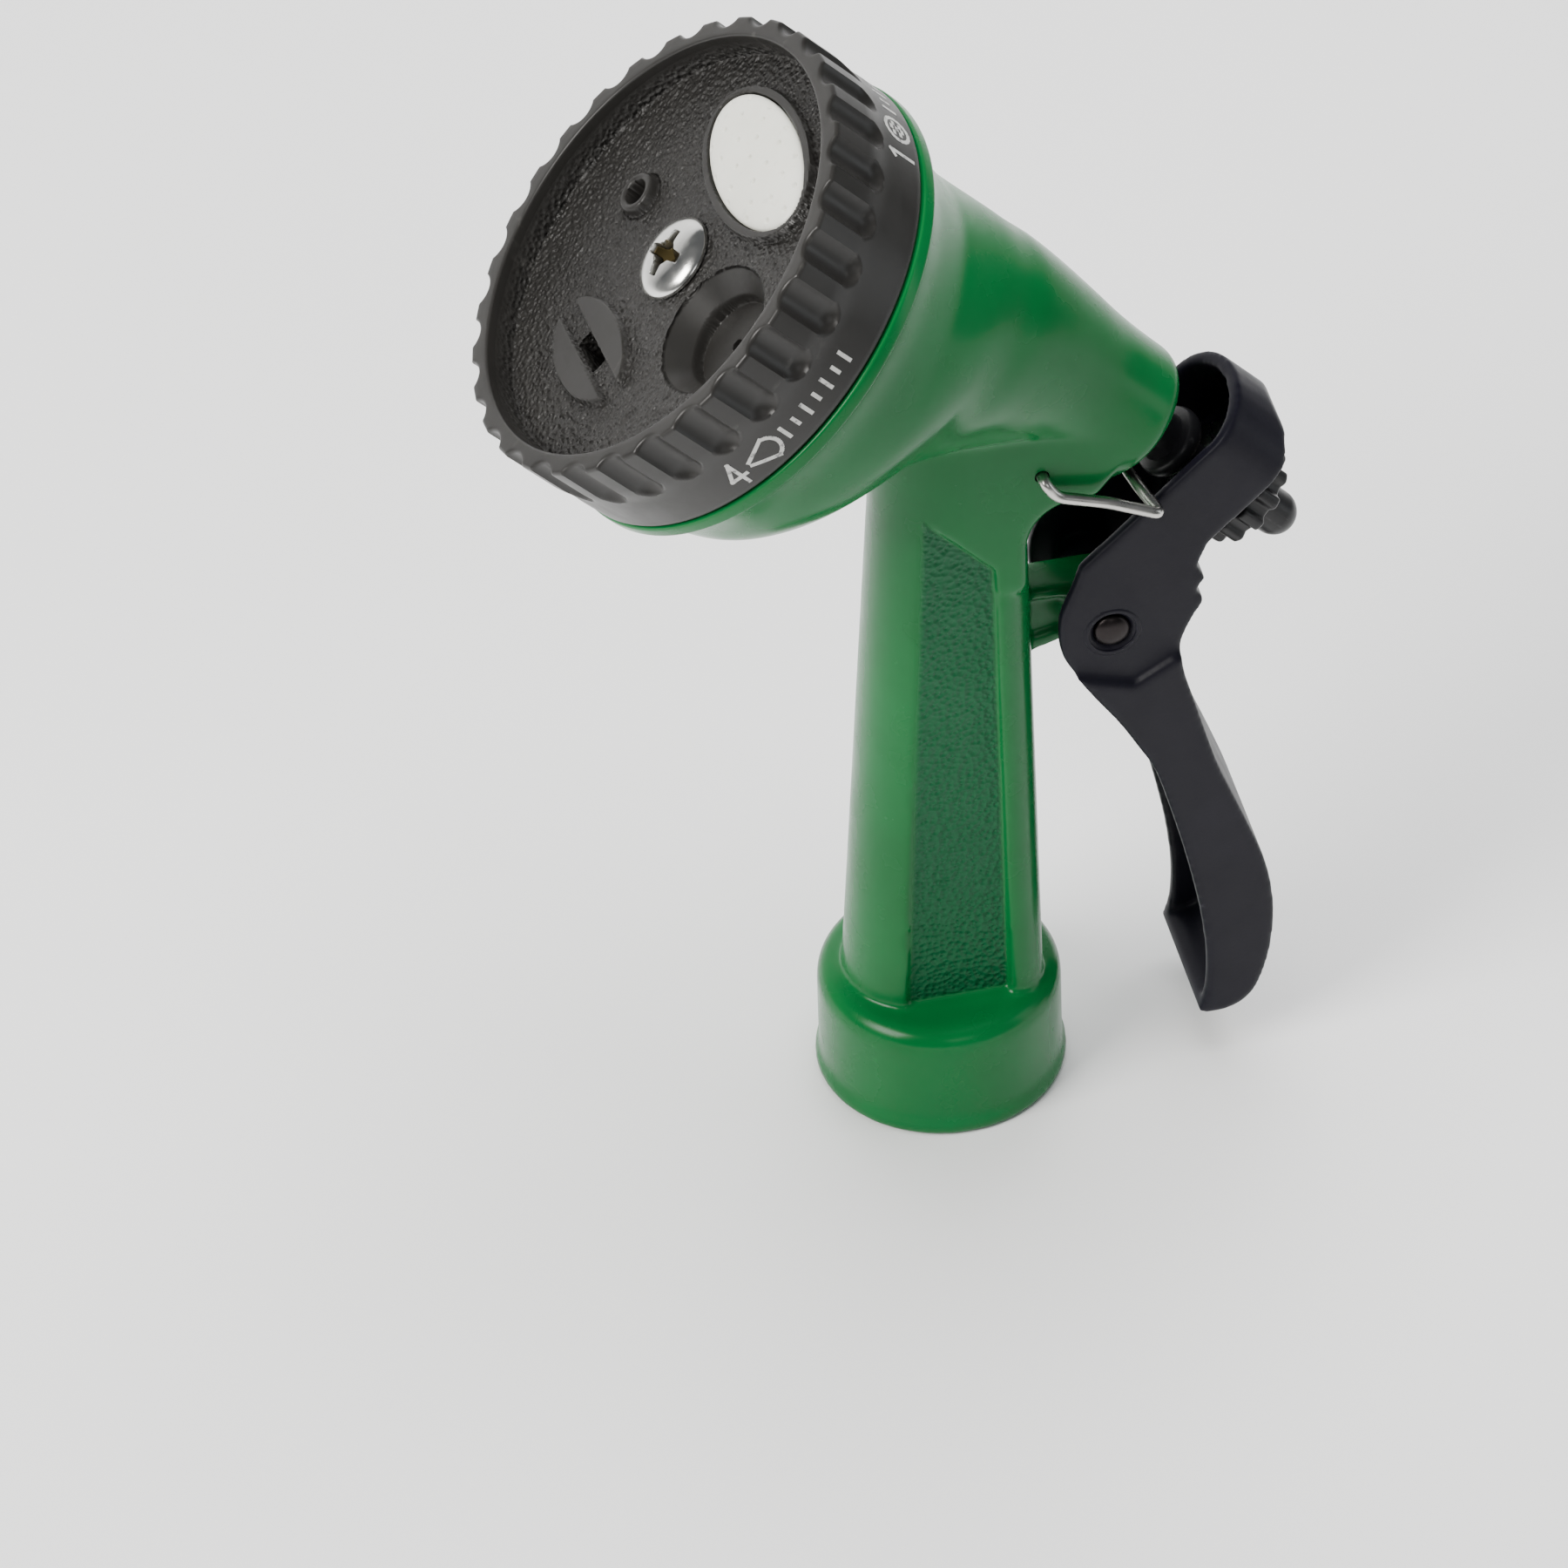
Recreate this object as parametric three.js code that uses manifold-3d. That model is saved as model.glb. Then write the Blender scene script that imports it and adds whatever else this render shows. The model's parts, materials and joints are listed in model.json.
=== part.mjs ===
// Garden-hose spray gun with a four-pattern selector dial and a rear lever.
//
// Millimetres, +Z up. The gun stands on the open face of its hose inlet, z = 0. It sprays
// towards -X and upwards, the lever is on the +X side, and it is symmetric about y = 0 apart
// from the dial's patterns and the pivot pin's head.
//
// The head is modelled in its own frame: Z along the spray axis, pointing out of the dial,
// X up across the dial, z = 0 on the dial's front rim. inHead() turns such a shape into place.

import * as THREE from 'three';
import Module from 'manifold-3d';
import { mergeVertices } from 'three/addons/utils/BufferGeometryUtils.js';

const wasm = await Module();
wasm.setup();

// ---------------------------------------------------------------- driving dimensions

const gap = 0.3;                 // between pieces that touch or slide
const fine = 36;                 // sides of a large round
const plain = 18;                // sides of a small round

// where the head stands on the handle
const dialReach = 32.7;          // dial's front rim centre in front of the handle axis
const dialHeight = 140.8;        // dial's front rim centre above the inlet face
const sprayTilt = 43.47;         // spray axis from the vertical, degrees
const valveOffset = 15.9;        // valve axis above the dial's axis; the ports stand on its circle

// selector dial
const dialRadius = 30.3;         // plain band
const dialDepth = 14.9;
const scallops = 30;             // grip lobes round the front
const scallopDepth = 0.9;
const gripLength = 8;            // length of the lobes along the axis
const rimInner = dialRadius - 2.4;
const faceRecess = 4.4;          // face plate behind the rim
const faceThick = 2.2;
const dialTurn = -6;             // how far the front patterns are clocked from the ports behind them
const portRadius = 4;            // ports in the dial's back plate
const dialBossRadius = 4.6;
const backPlateThick = 2;
const backPlateRadius = rimInner - 0.6;

// patterns on the dial, each on its own circle round the screw; they grow with the dial
const faceScale = rimInner / 27.9;
const roseAcross = 13 * faceScale;      // half the oval rose's length, along the dial's rim
const roseRadial = 6.3 * faceScale;     // half its width
const roseCrown = 0.7;                  // height of its domed front
const roseStand = 1.5;                  // edge of the rose above the dial face
const roseSink = 1.8;                   // depth of its seat below the dial face
const roseRing = 1.3;                   // width of the raised ring round it
const roseRingStand = 1;
const roseCircle = 15.6 * faceScale;
const jetHoleRadius = 1.5;
const jetBossRadius = 2.8;
const jetBossHeight = 1.4;
const jetChamberRadius = 6.4 * faceScale;
const jetCircle = 14.6 * faceScale;
const coneRadius = 8.4 * faceScale;     // wide mouth of the cone nozzle
const coneDeep = 2.9;
const coneFloorRadius = 5.9 * faceScale;
const coneHoleRadius = 1.2;
const coneCircle = 15.5 * faceScale;
const fanAcross = 9.6 * faceScale;      // half the raised oval's length
const fanRadial = 5.3 * faceScale;      // half its width
const fanHeight = 0.9;
const fanSlot = 2.7;                    // width of the slot across the oval
const fanHoleLength = 6;
const fanHoleWidth = 2;
const fanChamberRadius = 7 * faceScale;
const fanCircle = 15.3 * faceScale;
const chamberWall = 1.3;

// screw through the dial
const screwHeadRadius = 5.5;
const screwHeadHeight = 2.1;
const screwRadius = 1.75;
const screwLength = 21;
const washerRadius = 4.4;
const washerThick = 0.6;

// outlet plate that closes the head behind the dial
const outletPlateRadius = dialRadius - 3.6;
const outletPlateThick = 4;
const plateProud = 1;            // how far it stands out of the housing
const sealOuter = 5.3;
const sealInner = 3.4;
const sealLength = 3;
const sealSpringLength = 3.6;
const portBossDepth = 4;         // boss behind the plate that holds the seal's spring
const ballRadius = 1.6;          // detent ball
const detentSpringLength = 3.4;

// head housing
const flangeRadius = dialRadius + 0.1;
const flangeThick = 1.6;
const headWall = 2.4;
const barrelRadius = 9.5;
const barrelEnd = 68.6;          // barrel's rear end behind the dial's front rim
const boreRadius = 6.3;          // valve chamber
const seatPlace = 41;            // valve seat behind the dial's front rim
const seatThick = 3.4;
const seatHoleRadius = 3.6;

// handle
const collarRadius = 15.9;
const collarHeight = 17;
const collarRound = 2.8;
const lipRadius = 16.5;
const lipHeight = 2.4;
const gripWidthFoot = 19.6;      // across Y
const gripWidthTop = 18.6;
const frontFoot = -12.7;         // front and rear of the grip where it meets the collar
const rearFoot = 12.6;
const frontTop = -7.5;           // front and rear of the grip at gripTop
const rearTop = 11.5;
const gripTop = dialHeight - 48.8;
const panelDepth = 1.3;          // recess of the textured side panels
const neckWidth = 19;
const neckFront = 1.5;           // flat sides of the neck start here
const neckFrontTop = dialHeight - 28.8;

// hose inlet
const threadMajor = 13.22;       // G 3/4 internal thread
const threadMinor = 12.06;
const threadPitch = 1.81;
const inletDepth = 12.4;
const inletWasherThick = 2.5;
const inletWasherInner = 7;
const waterway = 4.3;            // radius of the passage up the handle

// pivot bracket behind the handle
const pivotDrop = 21.9;          // pivot below the valve's axis, in the head's frame
const pivotPlace = 84.97;        // and behind the dial's front rim
const bracketWidth = 6.4;
const bracketWeb = 4;            // its waist between the top and bottom flanges
const bracketBoss = 3.6;
const pinRadius = 1.4;
const pinHeadRadius = 2.4;
const pinHeadHeight = 1.1;
const pinRecess = 0.9;           // depth of the pin head's recess in each cheek

// lever
const yokeWidth = 17.6;
const bladeWidth = 20;
const leverWall = 1.8;
const yokeFront = 74.4;          // front edge of the yoke behind the dial's front rim
const yokeRear = 85;
const yokeTop = valveOffset + 12.7;      // top of the yoke above the dial's axis

// valve
const stemRadius = 1.9;
const stemEnd = 94.6;            // rear end of the stem behind the dial's front rim
const valveSealRadius = 5.2;
const valveSealLength = 4;
const retainerThick = 1.4;
const springRadius = 4.6;        // mean radius of the valve spring
const springWire = 1;
const springTurns = 5;
const glandNeckRadius = 3.2;
const glandRimRadius = 4.7;      // rim at the rear end of the neck
const glandRimLength = 2.4;
const glandNeckEnd = 77;         // rear end of the gland behind the dial's front rim
const glandThreadLength = 7;
const ringWire = 1.5;            // section of the gland's O-ring
const stemRingWire = 1.3;

// adjusting nut
const nutRadius = 7.1;
const nutLobes = 12;
const nutLobeDepth = 1;
const nutHub = 1.2;              // round hub that touches the yoke
const nutHubRadius = 3.4;
const nutLength = 4.9;
const nutCapRadius = 2.95;
const nutCapEnd = 98.3;          // tip of the domed cap behind the dial's front rim
const yokeWasherRadius = 6.4;
const yokeWasherThick = 0.5;

// hold-open wire
const wireRadius = 0.75;
const wireSpread = 12.4;         // half the width of its loop
const wireHoleUp = valveOffset - 9.4;    // its holes in the housing, in the head's frame
const wireHolePlace = 58.8;
const wireCornerUp = valveOffset - 3.5;  // the corners of its loop
const wireCornerPlace = 73.5;
const wireCrossUp = valveOffset - 4.4;   // the middle of its cross bar, which bows to the barrel
const wireCrossPlace = 70.4;

// ---------------------------------------------------------------- helpers

const green = { color: 0x0b6b32, roughness: 0.28, metalness: 0 };
const black = { color: 0x1d1c1f, roughness: 0.5, metalness: 0 };
const rubber = { color: 0x151515, roughness: 0.8, metalness: 0 };
const steel = { color: 0xb9bbb8, roughness: 0.3, metalness: 1 };
const blackened = { color: 0x2c2926, roughness: 0.45, metalness: 1 };
const cream = { color: 0xe6e5da, roughness: 0.45, metalness: 0 };

const rad = THREE.MathUtils.degToRad;
const spray = new THREE.Vector3(-Math.sin(rad(sprayTilt)), 0, Math.cos(rad(sprayTilt)));
const across = new THREE.Vector3(Math.cos(rad(sprayTilt)), 0, Math.sin(rad(sprayTilt)));
const headMatrix = new THREE.Matrix4()
  .makeRotationY(-rad(sprayTilt))
  .setPosition(-dialReach, 0, dialHeight);

// [x, z] in the gun's frame of a point in the head's frame, `back` behind the dial's rim
function fromHead(up, back) {
  return [
    -dialReach + across.x * up - spray.x * back,
    dialHeight + across.z * up - spray.z * back,
  ];
}

const [pivotX, pivotZ] = fromHead(valveOffset - pivotDrop, pivotPlace);

function inHead(geometry) {
  return geometry.clone().applyMatrix4(headMatrix);
}

// a closed three.js geometry as a manifold-3d solid
function solid(geometry) {
  const bare = geometry.clone();
  bare.deleteAttribute('normal');
  bare.deleteAttribute('uv');
  const merged = mergeVertices(bare, 1e-4);
  return new wasm.Manifold(new wasm.Mesh({
    numProp: 3,
    vertProperties: new Float32Array(merged.attributes.position.array),
    triVerts: new Uint32Array(merged.index.array),
  }));
}

function geometryOf(manifold) {
  const mesh = manifold.getMesh();
  const geometry = new THREE.BufferGeometry();
  geometry.setAttribute('position', new THREE.BufferAttribute(mesh.vertProperties, 3));
  geometry.setIndex(new THREE.BufferAttribute(mesh.triVerts, 1));
  return geometry;
}

const join = (...geometries) =>
  geometryOf(geometries.map(solid).reduce((all, next) => all.add(next)));
const cut = (base, ...tools) =>
  geometryOf(tools.map(solid).reduce((all, next) => all.subtract(next), solid(base)));
const common = (a, b) => geometryOf(solid(a).intersect(solid(b)));

// a body of revolution about Z from a closed profile of [radius, z] points
function turned(profile, sides = plain) {
  const points = profile.map(([r, z]) => new THREE.Vector2(r, z));
  points.push(points[0].clone());
  const area = points.reduce((sum, p, i) => {
    const q = points[(i + 1) % points.length];
    return sum + p.x * q.y - q.x * p.y;
  }, 0);
  if (area < 0) points.reverse();
  return new THREE.LatheGeometry(points, sides).rotateX(Math.PI / 2);
}

// a solid rod or, with a bore, a tube, standing on z = from
function rod(radius, from, to, sides = plain, bore = 0) {
  return turned([[bore, from], [radius, from], [radius, to], [bore, to]], sides);
}

// a stack of closed rings of points, capped at both ends
function loft(rings) {
  const count = rings[0].length;
  const positions = rings.flat().flatMap((p) => [p.x, p.y, p.z]);
  const index = [];
  for (let k = 0; k + 1 < rings.length; k++) {
    for (let i = 0; i < count; i++) {
      const a = k * count + i;
      const b = k * count + ((i + 1) % count);
      index.push(a, b, b + count, a, b + count, a + count);
    }
  }
  for (const [ring, flip] of [[0, true], [rings.length - 1, false]]) {
    const centre = new THREE.Vector3();
    rings[ring].forEach((p) => centre.addScaledVector(p, 1 / count));
    positions.push(centre.x, centre.y, centre.z);
    const c = positions.length / 3 - 1;
    for (let i = 0; i < count; i++) {
      const a = ring * count + i;
      const b = ring * count + ((i + 1) % count);
      index.push(...(flip ? [c, b, a] : [c, a, b]));
    }
  }
  const geometry = new THREE.BufferGeometry();
  geometry.setAttribute('position', new THREE.Float32BufferAttribute(positions, 3));
  geometry.setIndex(index);
  return geometry;
}

// a plate with its outline in X and Z, `width` across Y and centred on y = 0
function slab(outline, width) {
  const shape = outline instanceof THREE.Shape
    ? outline
    : new THREE.Shape(outline.map(([x, z]) => new THREE.Vector2(x, z)));
  return new THREE.ExtrudeGeometry(shape, { depth: width, bevelEnabled: false, curveSegments: 8 })
    .translate(0, 0, -width / 2)
    .rotateX(Math.PI / 2);
}

// a plate with its outline in X and Y, from one z to another
function plateOf(shape, from, to, curveSegments = 8) {
  return new THREE.ExtrudeGeometry(shape, { depth: to - from, bevelEnabled: false, curveSegments })
    .translate(0, 0, from);
}

// outline through a few chosen points, smoothed between them
function smooth(points, divisions) {
  const curve = new THREE.CatmullRomCurve3(
    points.map(([x, z]) => new THREE.Vector3(x, 0, z)), false, 'centripetal');
  return curve.getPoints(divisions).map((p) => [p.x, p.z]);
}

// helical spring along Z with closed round ends
function coil(radius, wire, turns, length) {
  const rise = length - wire;
  class Helix extends THREE.Curve {
    getPoint(t, target = new THREE.Vector3()) {
      const angle = 2 * Math.PI * turns * t;
      return target.set(radius * Math.cos(angle), radius * Math.sin(angle), rise * t + wire / 2);
    }
  }
  const section = new THREE.Shape().absarc(0, 0, wire / 2, 0, 2 * Math.PI);
  return new THREE.ExtrudeGeometry(section, {
    steps: Math.round(turns * 9), curveSegments: 3, extrudePath: new Helix(), bevelEnabled: false,
  });
}

// the handle's axis is set off so that x = 0 is midway between the dial's lowest grip lobe and
// the cap of the adjusting nut
const gripLobeRadius = dialRadius + 0.4;
const frontmost = -dialReach - across.x * gripLobeRadius;
const rearmost = fromHead(valveOffset, nutCapEnd - nutCapRadius)[0] + nutCapRadius;

const group = new THREE.Group();
group.name = 'spray_gun';
group.position.x = -(frontmost + rearmost) / 2;

function add(name, geometry, look) {
  const bare = geometry.index ? geometry : mergeVertices(geometry, 1e-4);
  const shown = bare.toNonIndexed();
  shown.computeVertexNormals();
  const mesh = new THREE.Mesh(shown, new THREE.MeshStandardMaterial(look));
  mesh.name = name;
  group.add(mesh);
}

const addInHead = (name, geometry, look) => add(name, inHead(geometry), look);

// ---------------------------------------------------------------- stack along the spray axis

const faceFront = -faceRecess;
const faceBack = faceFront - faceThick;
const dialBack = -dialDepth;
const backPlateFront = dialBack + 1.2 + backPlateThick;
const backPlateBack = backPlateFront - backPlateThick;
const flangeFront = dialBack - gap;
const outletPlateFront = flangeFront + plateProud;
const outletPlateBack = outletPlateFront - outletPlateThick;
const outletBossBack = outletPlateBack - portBossDepth;

// place of a pattern on the dial: index 0 is up, then clockwise as seen from behind
function patternPlace(index, circle) {
  const angle = rad(90 * index - dialTurn);
  return [circle * Math.cos(angle), circle * Math.sin(angle)];
}

// ---------------------------------------------------------------- selector dial

// oval plate clocked with the dial's patterns, its short half-width along the dial's radius
function ovalPlate(radial, tangential, from, to) {
  const shape = new THREE.Shape();
  shape.absellipse(0, 0, radial, tangential, 0, 2 * Math.PI, false, 0);
  return plateOf(shape, from, to, fine).rotateZ(-rad(dialTurn));
}

// outline of the grip: rounded lobes between shallow grooves
function gripOutline() {
  const shape = new THREE.Shape();
  const steps = scallops * 4;
  for (let i = 0; i < steps; i++) {
    const angle = (2 * Math.PI * i) / steps;
    const wave = Math.cos(scallops * angle);
    const r = gripLobeRadius - (scallopDepth * (1 - wave)) / 2;
    if (i === 0) shape.moveTo(r * Math.cos(angle), r * Math.sin(angle));
    else shape.lineTo(r * Math.cos(angle), r * Math.sin(angle));
  }
  shape.closePath();
  return shape;
}

function selectorDial() {
  const grip = plateOf(gripOutline(), -gripLength, 0);
  const band = rod(dialRadius, dialBack, -gripLength + 0.5, scallops * 2);
  const faceRound = 1.2;
  const dish = turned([
    [0, faceFront], [rimInner - faceRound, faceFront], [rimInner - 0.3, faceFront + faceRound],
    [rimInner, 1], [0, 1],
  ], 48);
  const inside = rod(rimInner, dialBack - 1, faceBack, 48);
  let dial = cut(join(grip, band), dish, inside);

  const [roseX, roseY] = patternPlace(0, roseCircle);
  const [jetX, jetY] = patternPlace(1, jetCircle);
  const [fanX, fanY] = patternPlace(2, fanCircle);
  const [coneX, coneY] = patternPlace(3, coneCircle);
  const chamberEnd = backPlateFront + gap;
  const chamber = (x, y, radius) =>
    rod(radius, chamberEnd, faceBack + 0.5).translate(x, y, 0);
  const oval = (margin, from, to) =>
    ovalPlate(roseRadial + margin, roseAcross + margin, from, to).translate(roseX, roseY, 0);

  dial = join(
    dial,
    rod(dialBossRadius, backPlateBack, faceBack + 0.5),
    oval(roseRing, chamberEnd, faceBack + 0.5),
    chamber(jetX, jetY, jetChamberRadius),
    chamber(fanX, fanY, fanChamberRadius),
    chamber(coneX, coneY, coneRadius),
    oval(roseRing, faceFront - 0.5, faceFront + roseRingStand),
    rod(jetBossRadius, faceFront - 0.5, faceFront + jetBossHeight).translate(jetX, jetY, 0),
    ovalPlate(fanRadial, fanAcross, faceFront - 0.5, faceFront + fanHeight).translate(fanX, fanY, 0),
  );
  const hollow = (x, y, radius, top) =>
    rod(radius, chamberEnd - 1, top).translate(x, y, 0);
  const coneCut = turned([
    [0, faceFront - coneDeep], [coneFloorRadius, faceFront - coneDeep],
    [coneRadius, faceFront + 0.01], [coneRadius, faceFront + 1], [0, faceFront + 1],
  ], fine).translate(coneX, coneY, 0);
  const slot = new THREE.BoxGeometry(fanSlot, 2.2 * fanAcross, fanHeight + 0.6)
    .rotateZ(-rad(dialTurn))
    .translate(fanX, fanY, faceFront + fanHeight / 2 + 0.3);
  const fanHole = new THREE.BoxGeometry(fanHoleWidth, fanHoleLength, 4 * faceThick)
    .rotateZ(-rad(dialTurn))
    .translate(fanX, fanY, faceFront);
  dial = cut(
    dial,
    oval(-chamberWall, chamberEnd - 1, faceFront - roseSink + 0.1),
    oval(gap, faceFront - roseSink, faceFront + roseStand),
    hollow(jetX, jetY, jetChamberRadius - chamberWall, faceBack),
    rod(jetHoleRadius, faceBack - 1, faceFront + jetBossHeight + 1).translate(jetX, jetY, 0),
    hollow(fanX, fanY, fanChamberRadius - chamberWall, faceBack),
    slot,
    fanHole,
    coneCut,
    hollow(coneX, coneY, coneRadius - chamberWall, faceFront - coneDeep - 1),
    rod(coneHoleRadius, chamberEnd - 1, faceFront).translate(coneX, coneY, 0),
    rod(screwRadius + gap, dialBack - 1, 1),
  );
  addInHead('selector_dial', dial, black);
}

// oval sprinkler plate with a domed front and rows of pinholes
function roseDisc() {
  const [x, y] = patternPlace(0, roseCircle);
  const edge = faceFront + roseStand;
  const base = faceFront - roseSink + gap;
  const rings = [[1, base], [1, edge]];
  for (let i = 1; i < 5; i++) {
    const angle = (Math.PI / 2) * (i / 5);
    rings.push([Math.cos(angle), edge + roseCrown * Math.sin(angle)]);
  }
  const disc = loft(rings.map(([share, z]) => Array.from({ length: fine }, (_, i) => {
    const angle = (2 * Math.PI * i) / fine;
    return new THREE.Vector3(
      roseRadial * share * Math.cos(angle), roseAcross * share * Math.sin(angle), z);
  })));
  const holes = [];
  const holeRows = [[0.3, 4], [0.68, 10]];      // [share of the way out, how many]
  for (const [share, count] of holeRows) {
    for (let i = 0; i < count; i++) {
      const angle = (2 * Math.PI * i) / count;
      holes.push(rod(0.4, base - 1, edge + 2, 4)
        .translate(roseRadial * share * Math.cos(angle), roseAcross * share * Math.sin(angle), 0));
    }
  }
  addInHead('rose_disc', cut(disc, ...holes).rotateZ(-rad(dialTurn)).translate(x, y, 0), cream);
}

function dialBackPlate() {
  const ports = [0, 1, 2, 3].map((index) => {
    const angle = (index * Math.PI) / 2;
    return rod(portRadius, backPlateBack - 1, backPlateFront + 1)
      .translate(valveOffset * Math.cos(angle), valveOffset * Math.sin(angle), 0);
  });
  const dimples = [0, 1, 2, 3].map((index) => {
    const angle = (index * Math.PI) / 2 + Math.PI / 4;
    return new THREE.SphereGeometry(ballRadius + gap, 12, 8)
      .translate(valveOffset * Math.cos(angle), valveOffset * Math.sin(angle), backPlateBack - 0.9);
  });
  const plate = rod(backPlateRadius, backPlateBack, backPlateFront, fine);
  const middle = rod(dialBossRadius + gap, backPlateBack - 1, backPlateFront + 1);
  addInHead('dial_back_plate', cut(plate, middle, ...ports, ...dimples), black);
}

// truss-head screw with a cross recess; its head sits on the dial's face
function dialScrew() {
  const under = faceFront + gap;
  const edge = under + 0.5;
  const top = under + screwHeadHeight;
  const dome = [];
  for (let i = 0; i <= 6; i++) {
    const angle = (i / 6) * (Math.PI / 2);
    dome.push([screwHeadRadius * Math.cos(angle), edge + (top - edge) * Math.sin(angle)]);
  }
  const body = turned([
    [0, under - screwLength], [screwRadius * 0.5, under - screwLength],
    [screwRadius, under - screwLength + 2], [screwRadius, under], [screwHeadRadius, under], ...dome,
  ]);
  const bar = (turn) => new THREE.BoxGeometry(4.4, 0.95, 3).rotateZ(rad(turn)).translate(0, 0, top);
  addInHead('dial_screw', cut(body, bar(28), bar(118)), steel);
}

function dialWasher() {
  const top = outletPlateFront - 0.05;
  addInHead('dial_washer', rod(washerRadius, top - washerThick, top, plain, screwRadius + gap), steel);
}

// ---------------------------------------------------------------- outlet plate, seal and detent

const detentX = valveOffset * Math.cos(Math.PI * 0.75);
const detentY = valveOffset * Math.sin(Math.PI * 0.75);
const ballTop = outletPlateFront - 0.05;
const ballCentre = ballTop - ballRadius;
const sealTop = backPlateBack - gap;

function outletPlate() {
  const plate = join(
    rod(outletPlateRadius, outletPlateBack, outletPlateFront, fine),
    rod(sealOuter + gap + 1.4, outletBossBack, outletPlateBack + 0.5).translate(valveOffset, 0, 0),
    rod(4.4, -screwLength - faceRecess - 2.5, outletPlateBack + 0.5),
    rod(ballRadius + gap + 1.3, outletBossBack, outletPlateBack + 0.5).translate(detentX, detentY, 0),
  );
  const sealFloor = sealTop - sealLength - sealSpringLength - 2 * gap;
  addInHead('outlet_plate', cut(
    plate,
    rod(sealOuter + gap, sealFloor, outletPlateFront + 1).translate(valveOffset, 0, 0),
    rod(sealInner, outletBossBack - 1, outletPlateFront).translate(valveOffset, 0, 0),
    rod(screwRadius + gap, -screwLength - faceRecess - 0.6, outletPlateFront + 1),
    rod(washerRadius + gap, outletPlateFront - washerThick - 0.05 - gap, outletPlateFront + 1),
    rod(ballRadius + gap, ballCentre - ballRadius - detentSpringLength - gap, outletPlateFront + 1)
      .translate(detentX, detentY, 0),
  ), black);
}

function outletSeal() {
  const ring = rod(sealOuter, sealTop - sealLength, sealTop, plain, sealInner);
  addInHead('outlet_seal', ring.translate(valveOffset, 0, 0), rubber);
  const spring = coil(sealOuter - 0.9, 0.8, 3, sealSpringLength);
  spring.translate(valveOffset, 0, sealTop - sealLength - gap - sealSpringLength);
  addInHead('outlet_seal_spring', spring, steel);
}

function detent() {
  const ball = new THREE.SphereGeometry(ballRadius, 14, 10).translate(detentX, detentY, ballCentre);
  addInHead('detent_ball', ball, steel);
  const spring = coil(ballRadius - 0.35, 0.5, 4, detentSpringLength - gap);
  spring.translate(detentX, detentY, ballCentre - ballRadius - detentSpringLength + gap / 2);
  addInHead('detent_spring', spring, steel);
}

// ---------------------------------------------------------------- body

// stations of the head housing: [behind the rim, centre above the dial's axis, radius]; the bowl
// grows with the dial, and the rest with the barrel
const bowlScale = flangeRadius / 30.4;
const barrelScale = barrelRadius / 9.5;
const headStations = [
  [dialDepth + gap, 0, flangeRadius],
  [dialDepth + gap + flangeThick, 0, flangeRadius],
  [dialDepth + gap + flangeThick + 0.3, 0, flangeRadius - 1],
  [21.5, -0.2, 27.6 * bowlScale],
  [26.3, -0.2, 26.3 * bowlScale],
  [29, 0.7, 25.3 * bowlScale],
  [31.2, 2.1, 24 * bowlScale],
  [33.6, 4.3, 22 * bowlScale],
  [36, 6.8, 19.7 * bowlScale],
  [38.6, 8.8, 17.8 * bowlScale],
  [42, 10.9, 16 * barrelScale],
  [47, 13.2, 13.5 * barrelScale],
  [53, 15, 11 * barrelScale],
  [58, 15.7, 9.7 * barrelScale],
  [barrelEnd - 1, valveOffset - 0.2, barrelRadius - 0.6],
  [barrelEnd, valveOffset - 0.2, barrelRadius - 1.1],
];

function headRing([back, up, radius], sides) {
  return Array.from({ length: sides }, (_, i) => {
    const angle = (2 * Math.PI * i) / sides;
    return new THREE.Vector3(up + radius * Math.cos(angle), radius * Math.sin(angle), -back);
  });
}

const skewed = (stations, sides = fine) =>
  loft([...stations].reverse().map((station) => headRing(station, sides)));

// hollow of the head between the outlet plate and the valve seat
function headChamber() {
  const seatFront = seatPlace - seatThick;
  const mouth = outletPlateRadius + gap;
  const shelf = dialDepth + gap + outletPlateThick - plateProud + gap;
  return skewed([
    [dialDepth - 1, 0, mouth],
    [shelf, 0, mouth],
    [shelf + 0.01, 0, mouth - 1.6],
    [26.3, 0, 26.3 * bowlScale - headWall],
    [29, 1.7, 24.4 * bowlScale - headWall],
    [32, 4.6, 21.8 * bowlScale - headWall],
    [34.5, 6.9, 19.6 * bowlScale - headWall],
    [seatFront, 8.8, 17.4 * bowlScale - headWall],
  ]);
}

// a grip section: round nose in front, rounded corners behind
function gripRing(z) {
  const t = (z - collarHeight) / (gripTop - collarHeight);
  const front = THREE.MathUtils.lerp(frontFoot, frontTop, t);
  const rear = THREE.MathUtils.lerp(rearFoot, rearTop, t);
  const half = THREE.MathUtils.lerp(gripWidthFoot, gripWidthTop, t) / 2;
  const corner = 5;
  const ring = [];
  for (let i = 0; i <= 12; i++) {
    const angle = Math.PI / 2 + (Math.PI * i) / 12;
    ring.push(new THREE.Vector3(front + half + half * Math.cos(angle), half * Math.sin(angle), z));
  }
  for (const [side, start] of [[-1, -Math.PI / 2], [1, 0]]) {
    for (let i = 0; i <= 4; i++) {
      const angle = start + (Math.PI / 2) * (i / 4);
      ring.push(new THREE.Vector3(
        rear - corner + corner * Math.cos(angle),
        side * (half - corner) + corner * Math.sin(angle), z));
    }
  }
  return ring;
}

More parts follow.
